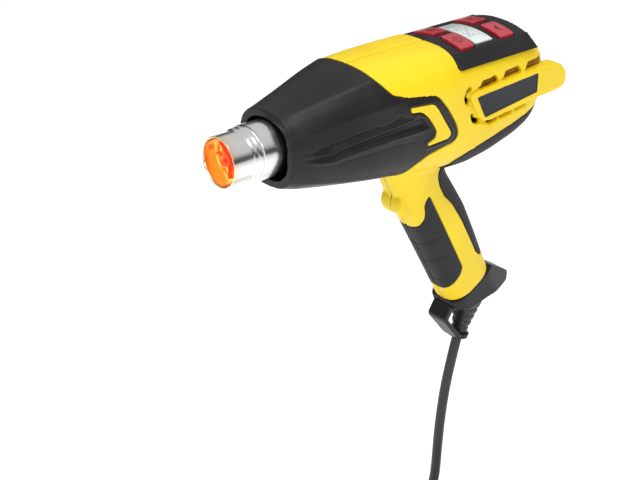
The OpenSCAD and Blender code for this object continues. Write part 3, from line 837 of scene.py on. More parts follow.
def knuckle_relief(local):
    side = local[:, [0, 2]]
    low = ridge(side, [(-24, -84), (-18, -86), (-12, -84), (-8, -80)], 0.55, 1.8)
    return low + ridge(side, [(-24, -64), (-18, -62), (-10, -62)], 0.3, 2.4)


def side_cut(obj, outline, depth_to, ease=0.8):
    """Cuts the same side-view outline into both flanks, down to a distance from the middle."""
    for from_y, to_y in ((-60, -depth_to), (depth_to, 60)):
        combine(obj, side_prism("cut", eased_outline(outline, ease), from_y, to_y), "DIFFERENCE")


housing = barrel_form("housing", rounded_tail, start=96, step=1.0, around=260)
combine(housing, side_prism("nose", eased_outline(grown(SHROUD_OUTLINE, 0.25)), -60, 60), "DIFFERENCE")
combine(housing, handle_form("handle", 0, shaping=knuckle_relief), "UNION")
knuckle = softened(across_rod("knuckle", (-18.6, -73.5), -10.8, 10.8, 10.8, 60, in_handle=True), 3.0, 4)
combine(housing, knuckle, "UNION")
side_cut(housing, grown(BAR, 2.4), 36.0)
for from_y, to_y in ((-38.8, -31), (31, 38.8)):
    bar = softened(side_prism("bar", eased_outline(BAR, 2.0), from_y, to_y), 0.9, 3)
    combine(housing, bar, "UNION")
for from_y, to_y in ((-38.8, -27), (27, 38.8)):
    bumper = side_prism("bumper", eased_outline(BAR, 2.0), from_y, to_y)
    combine(bumper, box_form("rear_part", (258, -60, -40), (300, 60, 40)), "INTERSECT")
    combine(housing, softened(bumper, 2.2, 3), "UNION")
barrel_core = barrel_form("core", 4.8, start=90, end=263, step=2, around=120)
handle_core = handle_form("core", 4.4, low=-190, high=-20, step=2, around=90)
combine(housing, barrel_core, "DIFFERENCE")
combine(housing, handle_core, "DIFFERENCE")
combine(housing, box_form("panel_well", (176.7, -50, 29.7), (254.3, 50, 70)), "DIFFERENCE")
side_cut(housing, NAMEPLATE, 37.7, 0.5)
for start in SLOT_STARTS:
    side_cut(housing, grown([(start[0] + x, start[1] + z) for x, z in SLOT], 1.1), 24, 0.5)
for notch in NOTCHES[:2]:
    side_cut(housing, grown(notch, 0.6), 31)
for notch in NOTCHES[2:]:
    side_cut(housing, grown(notch, 0.5), 33, 0.4)
for outline in (GRIP, BACK):
    pocket = side_prism("pocket", eased_outline(grown(outline, 0.3), 2.5), -30, 30, in_handle=True)
    combine(pocket, handle_form("floor", 1.9, low=-190, high=-20), "DIFFERENCE")
    combine(housing, pocket, "DIFFERENCE")
print("housing body", len(housing.data.polygons), "faces")

# %% [markdown]
# ## Parting the housing, and the soft web above the handle
# The join of handle and barrel is a broad fillet. Smoothing by a vertex group does that: points
# near the line where the two forms meet are eased many times, the rest of the skin isn't.

# %% Halves
from mathutils import kdtree


def meeting_line():
    """Places where the handle's skin passes through the barrel's skin."""
    found = []
    for up in np.arange(-70, -30, 0.75):
        front, back, half_w, square = at_station(HANDLE, up)
        for a, b in even_ring((back - front) / 2, half_w, square, 120):
            p = handle_point((front + back) / 2 + a, b, up)
            w, top, bottom, n = at_station(BARREL, p[0], 1.0)
            reach = (abs(p[1]) / w) ** n + (abs(p[2] - (top + bottom) / 2) / ((top - bottom) / 2)) ** n
            if abs(reach - 1) < 0.035:
                found.append(place(*p))
    tree = kdtree.KDTree(len(found))
    for i, p in enumerate(found):
        tree.insert(p, i)
    tree.balance()
    return tree


def ease_near(obj, tree, reach, rounds):
    group = obj.vertex_groups.new(name="web")
    for vertex in obj.data.vertices:
        gap = tree.find(vertex.co)[2] * 1000
        if gap < reach:
            group.add([vertex.index], min(1.0, 1.6 * (1 - gap / reach)), "REPLACE")
    ease = obj.modifiers.new("web", "SMOOTH")
    ease.vertex_group = "web"
    ease.factor = 0.8
    ease.iterations = rounds
    apply_modifiers(obj)
    obj.vertex_groups.clear()


web = meeting_line()
for side, word in ((-1, "left"), (1, "right")):
    half = bpy.data.objects.new("housing_" + word + "_skin", housing.data.copy())
    SCENE.collection.objects.link(half)
    keep = box_form("keep", (60, min(0.2 * side, 60 * side), -260), (320, max(0.2 * side, 60 * side), 90))
    combine(half, keep, "INTERSECT")
    for x, z, reach in BARREL_BOSSES:
        combine(half, across_rod("boss", (x, z), min(0.2 * side, reach * side),
                                 max(0.2 * side, reach * side), 5.4), "UNION")
    for x, z, reach in HANDLE_BOSSES:
        combine(half, across_rod("boss", (x, z), min(0.2 * side, reach * side),
                                 max(0.2 * side, reach * side), 5.2, in_handle=True), "UNION")
    if side > 0:
        for x, z, reach in BARREL_BOSSES:
            combine(half, across_rod("bore", (x, z), 12, 60, 3.8), "DIFFERENCE")
        for x, z, reach in HANDLE_BOSSES:
            combine(half, across_rod("bore", (x, z), 12, 60, 3.8, in_handle=True), "DIFFERENCE")
    moulded(half, 0.85, 3)
    ease_near(half, web, 10, 60)
    half.data.shade_smooth()
    as_piece(half, yellow_plastic, "gun_body", "yellow_plastic", "housing_" + word)
bpy.data.objects.remove(housing)

# %% [markdown]
# ## Control panel
# A crowned charcoal cover with straight flanks. A lower field inside a raised rim holds a display
# and four push buttons. The section never changes along the barrel, so it is one profile swept
# from end to end, and the openings are cut in plan view.

# %% Panel cover
PANEL_X = (177, 254)
CROWN_R, CROWN_TOP, EDGE_Y, FLANK = 77, 42, 26, (37, 30)
RIM_HEIGHT, RIM_FROM_Y = 0.55, 24.4


def panel_form(name, grow, start=PANEL_X[0], end=PANEL_X[1]):
    crown = [(y, CROWN_TOP - CROWN_R + math.sqrt(CROWN_R ** 2 - y * y) + grow)
            for y in np.linspace(-EDGE_Y, EDGE_Y, 53)]
    crown = [(y, z + (RIM_HEIGHT if grow == 0 and abs(y) > RIM_FROM_Y else 0)) for y, z in crown]
    right = [(EDGE_Y + (FLANK[0] + grow - EDGE_Y) * t,
              crown[-1][1] + (FLANK[1] + grow / 2 - crown[-1][1]) * t) for t in (0.33, 0.67, 1)]
    section = crown + right + [(FLANK[0] + grow, FLANK[1] - 0.2), (-FLANK[0] - grow, FLANK[1] - 0.2)]
    section += [(-y, z) for y, z in right[::-1]]
    rings = [[(x, y, z) for y, z in section] for x in np.linspace(start, end, 24)]
    return outward(loft(name, place_all(rings)))


def plan_prism(name, outline, low, high):
    """A flat plate with a plan-view outline, between two heights."""
    count = len(outline)
    points = [(x, y, z) for z in (low, high) for x, y in outline]
    faces = [tuple(range(count)), tuple(range(2 * count - 1, count - 1, -1))]
    faces += [(i, i + count, (i + 1) % count + count, (i + 1) % count) for i in range(count)]
    return outward(mesh_object(name, place_all(points), faces))


def plan_box(x_range, y_range, grow=0.0):
    (x0, x1), (y0, y1) = x_range, y_range
    return [(x0 - grow, y0 - grow), (x1 + grow, y0 - grow), (x1 + grow, y1 + grow), (x0 - grow, y1 + grow)]


DISPLAY = ((206, 223), (-21, 17))
BUTTONS = {}
for row, x_range in (("front", (189, 203)), ("rear", (229, 243))):
    for word, y_range in (("left", (-23.5, -3.2)), ("right", (3.2, 23.5))):
        BUTTONS[row + "_" + word] = (x_range, y_range)

panel = panel_form("panel_cover_skin", 0)
combine(panel, panel_form("under", -2.4, PANEL_X[0] + 2.4, PANEL_X[1] - 2.4), "DIFFERENCE")
lowered = plan_prism("lowered", eased_outline(plan_box((182.5, 248.5), (-25.2, 25.2)), 3), 20, 60)
combine(lowered, panel_form("field", -0.7, 150, 280), "DIFFERENCE")
combine(panel, lowered, "DIFFERENCE")
for x_range, y_range in list(BUTTONS.values()):
    combine(panel, plan_prism("hole", eased_outline(plan_box(x_range, y_range, 0.4), 2), 20, 60),
            "DIFFERENCE")
combine(panel, plan_prism("hole", eased_outline(plan_box(*DISPLAY, 0.1), 1), 20, 60), "DIFFERENCE")
moulded(panel, 0.5, 1)
as_piece(panel, charcoal_plastic, "gun_body", "charcoal_plastic", "panel_cover")

# %% [markdown]
# ## Display
# A reflective liquid crystal behind a clear window: a pale grey-green sheet with a coat of gloss,
# and faint bar digits just under the shine. The digits are seven-segment figures built from flat
# hexagons, turned to face the person behind the tool.

# %% Display and its figures
glass = Finish("display_window")
glass_cloud = glass.noise(glass.where(), 60)
display_lens = glass.surface(Base_Color=glass.blend(glass_cloud, (0.62, 0.67, 0.65), (0.80, 0.84, 0.82)),
                             Roughness=0.12 + 0.08 * glass_cloud, Coat_Weight=0.6, Coat_Roughness=0.03)
ink = Finish("display_ink")
ink_tone = ink.noise(ink.where(), 400)
display_ink = ink.surface(Base_Color=ink.blend(ink_tone, (0.25, 0.29, 0.27), (0.32, 0.36, 0.34)),
                          Roughness=0.3)

display = panel_form("display_window", -0.35)
combine(display, plan_prism("frame_cut", plan_box(*DISPLAY), 32, 60), "INTERSECT")
tidy(display)
as_piece(display, display_lens, "gun_body", "display_lens", "display")

SEGMENTS = {"0": "abcdef", "3": "abcdg", "5": "acdfg", "8": "abcdefg", "1": "bc", "2": "abdeg"}


def figure_bars(digit, x, y, tall, wide):
    """Plan-view bars of one figure whose top points to the outlet."""
    half, thick = tall / 2, 0.42
    level = {"a": x, "g": x + half, "d": x + tall}
    upright = {"f": (y, x), "b": (y + wide, x), "e": (y, x + half), "c": (y + wide, x + half)}
    bars = []
    for name in SEGMENTS[digit]:
        if name in level:
            h = level[name]
            bars.append([(h, y + 0.5), (h + thick, y + 0.9), (h + thick, y + wide - 0.9),
                         (h, y + wide - 0.5),
                         (h - thick, y + wide - 0.9), (h - thick, y + 0.9)])
        else:
            side_y, top_x = upright[name]
            bars.append([(top_x + 0.5, side_y), (top_x + 0.9, side_y + thick),
                         (top_x + half - 0.9, side_y + thick),
                         (top_x + half - 0.5, side_y), (top_x + half - 0.9, side_y - thick),
                         (top_x + 0.9, side_y - thick)])
    return bars


def printed(name, outlines, grow, thick, material, body, slot):
    """Thin flat shapes laid on the crown, joined into one piece."""
    made = []
    for outline in outlines:
        shape = plan_prism(name, outline, 30, 60)
        combine(shape, panel_form("top", grow + thick, 150, 280), "INTERSECT")
        combine(shape, panel_form("under", grow - 0.1, 150, 280), "DIFFERENCE")
        made.append(shape)
    work = bmesh.new()
    for shape in made:
        work.from_mesh(shape.data)
        bpy.data.objects.remove(shape)
    mesh = bpy.data.meshes.new(name)
    work.to_mesh(mesh)
    work.free()
    obj = bpy.data.objects.new(name, mesh)
    SCENE.collection.objects.link(obj)
    return as_piece(tidy(obj, 30), material, body, slot)


digit_bars = []
for digit, y in (("3", -14), ("5", -8), ("0", -2)):
    digit_bars += figure_bars(digit, 209.5, y, 8.5, 4)
digit_bars += [plan_box((209 + 1.8 * k, 209.9 + 1.8 * k), (8, 13 - 0.6 * k)) for k in range(5)]
digit_bars += [plan_box((220.4, 221), (-17, 12))]
printed("display_figures", digit_bars, -0.35, 0.05, display_ink, "gun_body", "display_lens")

# %% [markdown]
# ## Push buttons
# Four translucent red keys follow the crown of the panel and stand a millimetre proud. Each rides
# on its own sliding body. Their marks are plain shapes: a circle with a bar, and arrows.

# %% Buttons and their marks
key = Finish("button_silicone")
key_cloud = key.noise(key.where(), 90)
button_red = key.surface(Base_Color=key.blend(key_cloud, (0.38, 0.014, 0.028), (0.50, 0.026, 0.045)),
                         Roughness=0.28 + 0.12 * key_cloud, Coat_Weight=0.35, Coat_Roughness=0.1)
mark = Finish("button_mark")
mark_tone = mark.noise(mark.where(), 300)
button_ink = mark.surface(Base_Color=mark.blend(mark_tone, (0.045, 0.003, 0.006), (0.08, 0.005, 0.01)),
                          Roughness=0.4)


def ring_outline(x, y, radius, from_deg, to_deg, thick=0.55):
    outer = [(x + radius * math.cos(a), y + radius * math.sin(a))
            for a in np.radians(np.linspace(from_deg, to_deg, 22))]
    inner = [(x + (radius - thick) * math.cos(a),
              y + (radius - thick) * math.sin(a)) for a in np.radians(np.linspace(to_deg, from_deg, 22))]
    return outer + inner


def arrow_outline(x, y, way):
    return [(x - 2.6 * way, y), (x + 1.6 * way, y - 4.2), (x + 0.4 * way, y), (x + 1.6 * way, y + 4.2)]


MARKS = {
    "front_left": lambda x, y: [ring_outline(x, y, 3.6, 215, 505),
                                plan_box((x - 4.6, x - 0.6), (y - 0.35, y + 0.35))],
    "front_right": lambda x, y: [ring_outline(x, y, 3.4, 20, 160), ring_outline(x, y, 3.4, 200, 340),
                                 plan_box((x - 0.5, x + 0.5), (y - 2.4, y + 2.4))],
    "rear_left": lambda x, y: [arrow_outline(x, y, 1)],
    "rear_right": lambda x, y: [arrow_outline(x, y, -1)]
}
for word, (x_range, y_range) in BUTTONS.items():
    body = word + "_button"
    button = plan_prism("button_" + word + "_key", eased_outline(plan_box(x_range, y_range), 2.2), 35, 60)
    combine(button, panel_form("crown", 0.95, 150, 280), "INTERSECT")
    middle = (sum(x_range) / 2, sum(y_range) / 2)
    stem_outline = [(middle[0] + 2.5 * math.cos(a), middle[1] + 2.5 * math.sin(a)) for a in np.linspace(0,
        2 * math.pi, 25)[:-1]]
    combine(button, plan_prism("stem", stem_outline, 32.2, 36), "UNION")
    moulded(button, 0.38, 3)
    as_piece(button, button_red, body, "button_red", "button_" + word)
    printed("mark_" + word, MARKS[word](*middle), 0.92, 0.16, button_ink, body, "button_red")

# %% [markdown]
# ## Nameplates
# A smooth blue-black plate lies in each bar. It carries no name here, only a fine raised border.

# %% Nameplates
plate = Finish("nameplate_gloss")
plate_tone = plate.noise(plate.where(scale=(1, 1, 1)), 14)
nameplate_black = plate.surface(Base_Color=plate.blend(plate_tone.between(0.3, 0.7),
                                                       (0.006, 0.007, 0.010), (0.020, 0.024, 0.036)),
                                Roughness=0.2 + 0.1 * plate_tone, Coat_Weight=0.1, Coat_Roughness=0.08,
                                Specular_IOR_Level=0.25)
for side, word in ((-1, "left"), (1, "right")):
    near, far = 37.75, 38.75
    nameplate = side_prism("nameplate_" + word + "_face", eased_outline(NAMEPLATE, 0.8),
                           min(side * near, side * far), max(side * near, side * far))
    rim = side_prism("field", eased_outline(grown(NAMEPLATE, -0.9), 0.6), min(side * 38.55, side * 40),
                     max(side * 38.55, side * 40))
    combine(nameplate, rim, "DIFFERENCE")
    as_piece(tidy(nameplate, 30), nameplate_black, "gun_body", "nameplate_black", "nameplate_" + word)

# %% [markdown]
# ## Rubber
# Soft overmoulded pads fill the handle's pockets: one on each side that meets its twin round the
# front, and one down the back. The side pads have three shallow curved grooves for the fingers.
# The rubber is a bluish charcoal, matt, with a fine stipple. A dark guard of the same rubber
# wraps the underside behind the handle and gets thicker towards the bottom.

# %% Pads and guard
rubber = Finish("grip_rubber")
rubber_place = rubber.where()
rubber_slow = rubber.noise(rubber_place, 35, 3)
rubber_stipple = rubber.node("ShaderNodeTexVoronoi", {"feature": "F1"},
                             {"Vector": rubber_place, "Scale": 1400})["Distance"]
rubber_grip = rubber.surface(Base_Color=rubber.blend(rubber_slow, (0.010, 0.0105, 0.013),
                                                     (0.019, 0.0195, 0.024)),
                             Roughness=0.5 + 0.18 * rubber_slow,
                             Normal=rubber.bump(rubber_stipple, 0.3, 0.0002), Specular_IOR_Level=0.3)
GROOVES = [(-114, 3.2), (-134.2, 3.6), (-155.6, 3.8)]
UNDERSIDE = [
    (178, -37.5), (190, -32.2), (206, -28.4), (226, -24), (240, -21.2), (252, -17.6), (261, -14.4),
    (266, -14), (266, -60), (178, -60)
]


def finger_grooves(local):
    depth = np.zeros(len(local))
    for level, drop_by in GROOVES:
        bend = level - drop_by * (np.clip(14 - np.abs(local[:, 1]), 0, 14) / 14) ** 1.5
        near = np.exp(-((local[:, 2] - bend) / 0.75) ** 2)
        fade = np.clip((-8.5 - local[:, 0]) / 4, 0, 1)
        depth -= 0.75 * near * fade
    return depth


for side, word in ((-1, "left"), (1, "right")):
    pad = handle_form("side_pad_" + word, 0, low=-183, high=-60, step=0.5, around=220,
                      shaping=finger_grooves)
    combine(pad, handle_form("floor", 1.75, low=-190, high=-50), "DIFFERENCE")
    low, high = min(0.1 * side, 30 * side), max(0.1 * side, 30 * side)
    combine(pad, side_prism("keep", eased_outline(GRIP, 2.5), low, high, in_handle=True), "INTERSECT")
    moulded(pad, 0.5, 3)
    as_piece(pad, rubber_grip, "gun_body", "rubber_grip", "grip_" + word)

back_pad = handle_form("back_pad", 0, low=-183, high=-50, step=1, around=180)
combine(back_pad, handle_form("floor", 1.75, low=-190, high=-40), "DIFFERENCE")
combine(back_pad, side_prism("keep", eased_outline(BACK, 2.5), -30, 30, in_handle=True), "INTERSECT")
moulded(back_pad, 0.5, 3)
as_piece(back_pad, rubber_grip, "gun_body", "rubber_grip", "back_grip")


def guard_growth(rings):
    edge = np.interp(rings[..., 0], [178, 206, 240, 266], [-35.5, -28.4, -21.2, -14.4])
    return 0.35 + 2.0 * np.clip((edge - rings[..., 2]) / 9, 0, 1)


guard = barrel_form("underside_guard", rounded_tail, start=176, end=268, step=1, around=260,
                    shaping=guard_growth)
combine(guard, barrel_form("core", lambda x: rounded_tail(x) + 0.1, start=170, end=269.4, step=1,
                           around=260), "DIFFERENCE")
combine(guard, side_prism("keep", eased_outline(UNDERSIDE, 1.5), -60, 60), "INTERSECT")
combine(guard, handle_form("handle", 0.2), "DIFFERENCE")
combine(guard, across_rod("bore", (200, -33), 12, 60, 3.9), "DIFFERENCE")
moulded(guard, 0.6, 3)
as_piece(guard, rubber_grip, "gun_body", "rubber_grip", "underside_strip")

# %% [markdown]
# ## Base, hanging strap and boot
# A chamfered charcoal foot closes the handle. A flat strap bends forward from it and returns to a
# collar round the end of the cord's boot, which leaves an eye for a hook. The boot is a tapering
# PVC moulding whose ribs let it bend; it is one loft, squarer at the top and round at the cord.

# %% Foot, strap and boot
BASE = [(-22.4, -184.2), (-24, -190), (-14, -199), (5, -205), (25, -213), (31, -214.5), (36, -209.5),
        (21.4, -184.2)]
BASE_PLAN = [(-25, -10), (-16, -16), (14, -16), (37, -8.6), (37, 8.6), (14, 16), (-16, 16), (-25, 10)]
STRAP = [
    (215, -174), (211.5, -176.5), (205.8, -185.5), (206.6, -188.5), (225, -211.2), (227.3, -208.6),
    (210.2, -187.2), (214.5, -181), (221, -176)
]


def handle_plan_prism(name, outline, low, high):
    count = len(outline)
    points = [handle_point(a, b, up) for up in (low, high) for a, b in outline]
    faces = [tuple(range(count)), tuple(range(2 * count - 1, count - 1, -1))]
    faces += [(i, i + count, (i + 1) % count + count, (i + 1) % count) for i in range(count)]
    return outward(mesh_object(name, place_all(points), faces))


def boot_form(name, grow, ribs, reach=(0.0, 1.0)):
    top, end = np.array(BOOT_TOP, float), np.array(BOOT_END, float)
    axis = (end - top) / np.linalg.norm(end - top)
    across = np.cross([0, 1, 0], axis)
    rings = []
    for t in np.linspace(*reach, 110):
        radius = 10.5 + (5.4 - 10.5) * t + grow
        if ribs and 0.2 < t < 0.82:
            radius -= 0.6 * max(0.0, math.sin((t - 0.2) * 2 * math.pi * 6.5)) ** 0.6
        flat = even_ring(radius, radius, 3.4 - 1.4 * min(max(t, 0) * 1.4, 1), 64)
        centre = top + (end - top) * t
        rings.append([centre + across * a + np.array([0, 1, 0]) * b for a, b in flat])
    return outward(loft(name, place_all(rings)))


base = side_prism("handle_foot", eased_outline(BASE, 1.2), -20, 20, in_handle=True)
combine(base, handle_plan_prism("plan", eased_outline(BASE_PLAN, 2.5), -230, -180), "INTERSECT")
combine(base, boot_form("clear", 0.25, False, (-0.25, 1.0)), "DIFFERENCE")
moulded(base, 0.6, 4)
as_piece(base, charcoal_plastic, "gun_body", "charcoal_plastic", "base_cap")

strap = side_prism("hanging_strap", eased_outline(STRAP, 1.2), -9, 9)
collar = boot_form("collar", 2.4, False, (0.87, 1.0))
combine(strap, collar, "UNION")
foot_space = side_prism("foot", BASE, -20, 20, in_handle=True)
combine(strap, foot_space, "DIFFERENCE")
combine(strap, boot_form("clear", 0.2, False, (-0.1, 1.1)), "DIFFERENCE")
moulded(strap, 0.5, 3)
as_piece(strap, charcoal_plastic, "gun_body", "charcoal_plastic", "hang_loop")

boot = tidy(boot_form("cord_boot_ribbed", 0, True), 60)
as_piece(boot, soft_pvc, "gun_body", "soft_pvc", "cord_boot")

# %% [markdown]
# ## Bright steel outlet
# Drawn and spun steel: fine rings from the lathe run round it, so the brushing is a noise squeezed
# along the barrel. Heat has turned the lip faintly straw. The engineering tubes already have the
# true spun profile with its two beads, so they stay and only get this finish.

# %% Steel
steel = Finish("spun_steel")
lathe = steel.noise(steel.where(scale=(2600, 25, 25)), 1.0, 3)
smears = steel.noise(steel.where(scale=(60, 25, 25)), 1.0, 3)
along_barrel = steel.node("ShaderNodeSeparateXYZ", {},
                          {"Vector": steel.where(centre=(-MOUTH_X, 0, 0))})["X"]
heated = 1 - along_barrel.between(0.0005, 0.007)
steel_colour = steel.blend(heated * 0.55, (0.80, 0.79, 0.775), (0.80, 0.66, 0.42))
steel_bright = steel.surface(Base_Color=steel_colour, Metallic=1.0,
                             Roughness=0.12 + 0.10 * lathe + 0.06 * smears,
                             Normal=steel.bump(lathe, 0.06, 0.0001))


def dress(material, *names):
    """Gives engineering nodes a finish; their meshes stay as they are."""
    for name in names:
        for place_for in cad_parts[name].material_slots:
            place_for.material = material


dress(steel_bright, "outlet_tube", "element_shell", "motor_shaft")

# %% [markdown]
# ## A short way to write Geometry Nodes
# The winding, the screws and the intake grilles repeat a shape by a rule, so Geometry Nodes make
# them. `Recipe` keeps a tree's named sizes, adds nodes, and ends every tree with Realize
# Instances and Set Material; `grow` runs it and keeps only the plain mesh.

# %% Recipe
class Recipe:
    def __init__(self, name, **sizes):
        self.tree = bpy.data.node_groups.new(name, "GeometryNodeTree")
        self.tree.interface.new_socket("Geometry", in_out="INPUT", socket_type="NodeSocketGeometry")
        self.tree.interface.new_socket("Geometry", in_out="OUTPUT", socket_type="NodeSocketGeometry")
        self.codes = {}
        for label, value in sizes.items():
            kind = "NodeSocketInt" if isinstance(value, int) else "NodeSocketFloat"
            item = self.tree.interface.new_socket(label, in_out="INPUT", socket_type=kind)
            item.default_value = value
            self.codes[label] = item.identifier
        self.start = self.tree.nodes.new("NodeGroupInput")
        self.end = self.tree.nodes.new("NodeGroupOutput")

    def size(self, label):
        return self.start.outputs[label]

    def add(self, kind, settings, inputs):
        node = self.tree.nodes.new(kind)
        for name, value in settings.items():
            setattr(node, name, value)
        for name, value in inputs.items():
            for part in value if isinstance(value, list) else [value]:
                if isinstance(part, bpy.types.NodeSocket):
                    self.tree.links.new(part, node.inputs[name])
                else:
                    node.inputs[name].default_value = part
        return node

    def vector(self, x=0.0, y=0.0, z=0.0):
        return self.add("ShaderNodeCombineXYZ", {}, {"X": x, "Y": y, "Z": z}).outputs["Vector"]

    def close(self, geometry, material):
        real = self.add("GeometryNodeRealizeInstances", {}, {"Geometry": geometry}).outputs["Geometry"]
        painted = self.add("GeometryNodeSetMaterial", {}, {"Geometry": real, "Material": material})
        self.tree.links.new(painted.outputs["Geometry"], self.end.inputs["Geometry"])

    def grow(self, name, seeds=(), **sizes):
        obj = mesh_object(name, seeds, [])
        step = obj.modifiers.new("recipe", "NODES")
        step.node_group = self.tree
        for label, value in sizes.items():
            step[self.codes[label]] = value
        grown_mesh = apply_modifiers(obj)
        if grown_mesh.data.materials[0] is None:
            grown_mesh.data.materials.pop(index=0)
        return grown_mesh


# %% [markdown]
# ## Glowing element
# A star-shaped ceramic former carries a helix of resistance wire inside a mica sleeve. Switched
# on, the wire glows, yellow where it is hottest. The former and the sleeve glow red, and their glow
# is painted light: emission and deep red base colours stand in for the wire's light falling on them
# and showing through the sleeve. Each glow is an emission colour that varies with a slow noise, so
# it reads as heat and not as a flat lamp.

# %% Glow and winding
# One glowing finish: the wire's own glow, and painted glow on parts that only catch the wire's light.
def glowing(name, cool, hot, deep, power, scale):
    heat = Finish(name)
    drift = heat.noise(heat.where(scale=(1, 1, 1)), scale, 3)
    colour = heat.blend(drift.between(0.44, 0.60), cool, hot)
    return heat.surface(Base_Color=deep, Roughness=0.6 + 0.2 * drift, Emission_Color=colour,
                        Emission_Strength=power)


# Painted light: the former, its base and the mica sleeve are no lamps. Their red emission and deep red base
# colours stand in for the wire's glow falling on them and showing through the sleeve.
ceramic_painted_glow = glowing("ceramic_with_painted_glow", (0.62, 0.015, 0.001), (1.0, 0.38, 0.025), (0.4, 0.08, 0.02), 0.95, 75)
mica_painted_glow = glowing("mica_with_painted_glow", (0.42, 0.006, 0.001), (0.95, 0.08, 0.004), (0.16, 0.02, 0.008), 0.75, 60)
wire_glow = glowing("wire_hot", (1.0, 0.30, 0.02), (1.0, 0.66, 0.14), (0.4, 0.2, 0.1), 1.3, 160)
dress(ceramic_painted_glow, "element_former", "element_base")
dress(mica_painted_glow, "mica_sleeve")

winding = Recipe("wound_wire", Turns=13.0, Radius=0.0138, Length=0.058, Wire=0.0006)
helix = winding.add("GeometryNodeCurveSpiral", {}, {
    "Resolution": 30, "Rotations": winding.size("Turns"), "Start Radius": winding.size("Radius"),
    "End Radius": winding.size("Radius"), "Height": winding.size("Length")}).outputs["Curve"]
wire_section = winding.add("GeometryNodeCurvePrimitiveCircle", {},
                           {"Resolution": 10, "Radius": winding.size("Wire")}).outputs["Curve"]
wound = winding.add("GeometryNodeCurveToMesh", {},
                    {"Curve": helix, "Profile Curve": wire_section, "Fill Caps": True}).outputs["Mesh"]
laid = winding.add("GeometryNodeTransform", {},
                   {"Geometry": wound, "Rotation": (0, math.pi / 2, 0),
                    "Translation": tuple(place(9.5, 0, 0))})
winding.close(laid.outputs["Geometry"], wire_glow)
coil_wire = winding.grow("heating_helix")
coil_wire.data.shade_smooth()
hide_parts("heating_winding")
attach(coil_wire, "gun_body")
print("winding", len(coil_wire.data.polygons), "faces")

# %% [markdown]
# ## Screws
# Five pan-head screws sit at the bottom of their bores on the right side. One screw is a head with
# a cross recess and a shank; Geometry Nodes set a copy on each point, turned to face outwards.

# %% Screws on their points
zinc = Finish("zinc_screw")
zinc_tone = zinc.noise(zinc.where(), 250)
zinc_plated = zinc.surface(Base_Color=zinc.blend(zinc_tone, (0.36, 0.36, 0.37), (0.52, 0.52, 0.53)),
                           Metallic=1.0,
                           Roughness=0.25 + 0.2 * zinc_tone)
screw = Recipe("pan_head_screw", Head=0.0033, Height=0.0023, Shank=0.0014, Length=0.0218)
head = screw.add("GeometryNodeMeshCylinder", {},
                 {"Vertices": 32, "Radius": screw.size("Head"),
                  "Depth": screw.size("Height")}).outputs["Mesh"]
wings = [screw.add("GeometryNodeMeshCube", {}, {"Size": size}).outputs["Mesh"]
         for size in ((0.0044, 0.0008, 0.002), (0.0008, 0.0044, 0.002))]
wings = [screw.add("GeometryNodeTransform", {},
                   {"Geometry": w, "Translation": (0, 0, 0.0012)}).outputs["Geometry"] for w in wings]
recessed = screw.add("GeometryNodeMeshBoolean", {"operation": "DIFFERENCE", "solver": "EXACT"},
                     {0: head, 1: wings}).outputs["Mesh"]
shank = screw.add("GeometryNodeMeshCylinder", {},
                  {"Vertices": 20, "Radius": screw.size("Shank"),
                   "Depth": screw.size("Length")}).outputs["Mesh"]
shank = screw.add("GeometryNodeTransform", {},
                  {"Geometry": shank, "Translation": (0, 0, -0.012)}).outputs["Geometry"]
whole = screw.add("GeometryNodeJoinGeometry", {}, {"Geometry": [recessed, shank]}).outputs["Geometry"]
facing = screw.add("GeometryNodeTransform", {},
                   {"Geometry": whole, "Rotation": (-math.pi / 2, 0, 0)}).outputs["Geometry"]
copies = screw.add("GeometryNodeInstanceOnPoints", {},
                   {"Points": screw.size("Geometry"), "Instance": facing}).outputs["Instances"]
screw.close(copies, zinc_plated)
seats = [place(x, 13.35, z) for x, z, _ in BARREL_BOSSES]
seats += [place(*handle_point(x, 13.35, z)) for x, z, _ in HANDLE_BOSSES]
screws = screw.grow("housing_screw_set", seats)
screws.data.set_sharp_from_angle(angle=math.radians(30))
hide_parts("housing_screws")
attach(screws, "gun_body")
print("screws", len(screws.data.polygons), "faces")

# %% [markdown]
# ## Intake grilles
# Behind the air slots lies a grille that keeps dust out: thin upright bars crossed by long ones.
# Two mesh lines give the rows of points, a bar is set on each, and the set is repeated left and
# right, each with a solid sheet behind it. The brown of bars and sheets is painted shade: it stands
# in for the shade deep inside the slots.

# %% Grilles
# Painted shade: the brown of the grille bars and of the solid sheet behind them stands in for the shade
# deep inside the air slots.
slot_shade_paint = Finish("painted_shade_brown")
slot_shade_paint_tone = slot_shade_paint.noise(slot_shade_paint.where(), 120)
painted_shade_brown = slot_shade_paint.surface(Base_Color=slot_shade_paint.blend(slot_shade_paint_tone, (0.26, 0.10, 0.004), (0.42, 0.19, 0.008)),
                             Roughness=0.6 + 0.1 * slot_shade_paint_tone)
grille = Recipe("crossed_bars", Uprights=34, Rows=5, Pitch=0.002)
upright = grille.add("GeometryNodeMeshCube", {}, {"Size": (0.0009, 0.0012, 0.012)}).outputs["Mesh"]
long_bar = grille.add("GeometryNodeMeshCube", {}, {"Size": (0.067, 0.0008, 0.0009)}).outputs["Mesh"]
row_points = grille.add("GeometryNodeMeshLine", {},
                        {"Count": grille.size("Uprights"), "Start Location": tuple(place(195, 0, 16.6)),
                         "Offset": grille.vector(x=grille.size("Pitch"))}).outputs["Mesh"]
level_points = grille.add("GeometryNodeMeshLine", {},
                          {"Count": grille.size("Rows"), "Start Location": tuple(place(228, 0, 11.6)),
                           "Offset": (0, 0, 0.0025)}).outputs["Mesh"]
bars = [grille.add("GeometryNodeInstanceOnPoints", {}, {"Points": p, "Instance": i}).outputs["Instances"]
        for p, i in ((row_points, upright), (level_points, long_bar))]
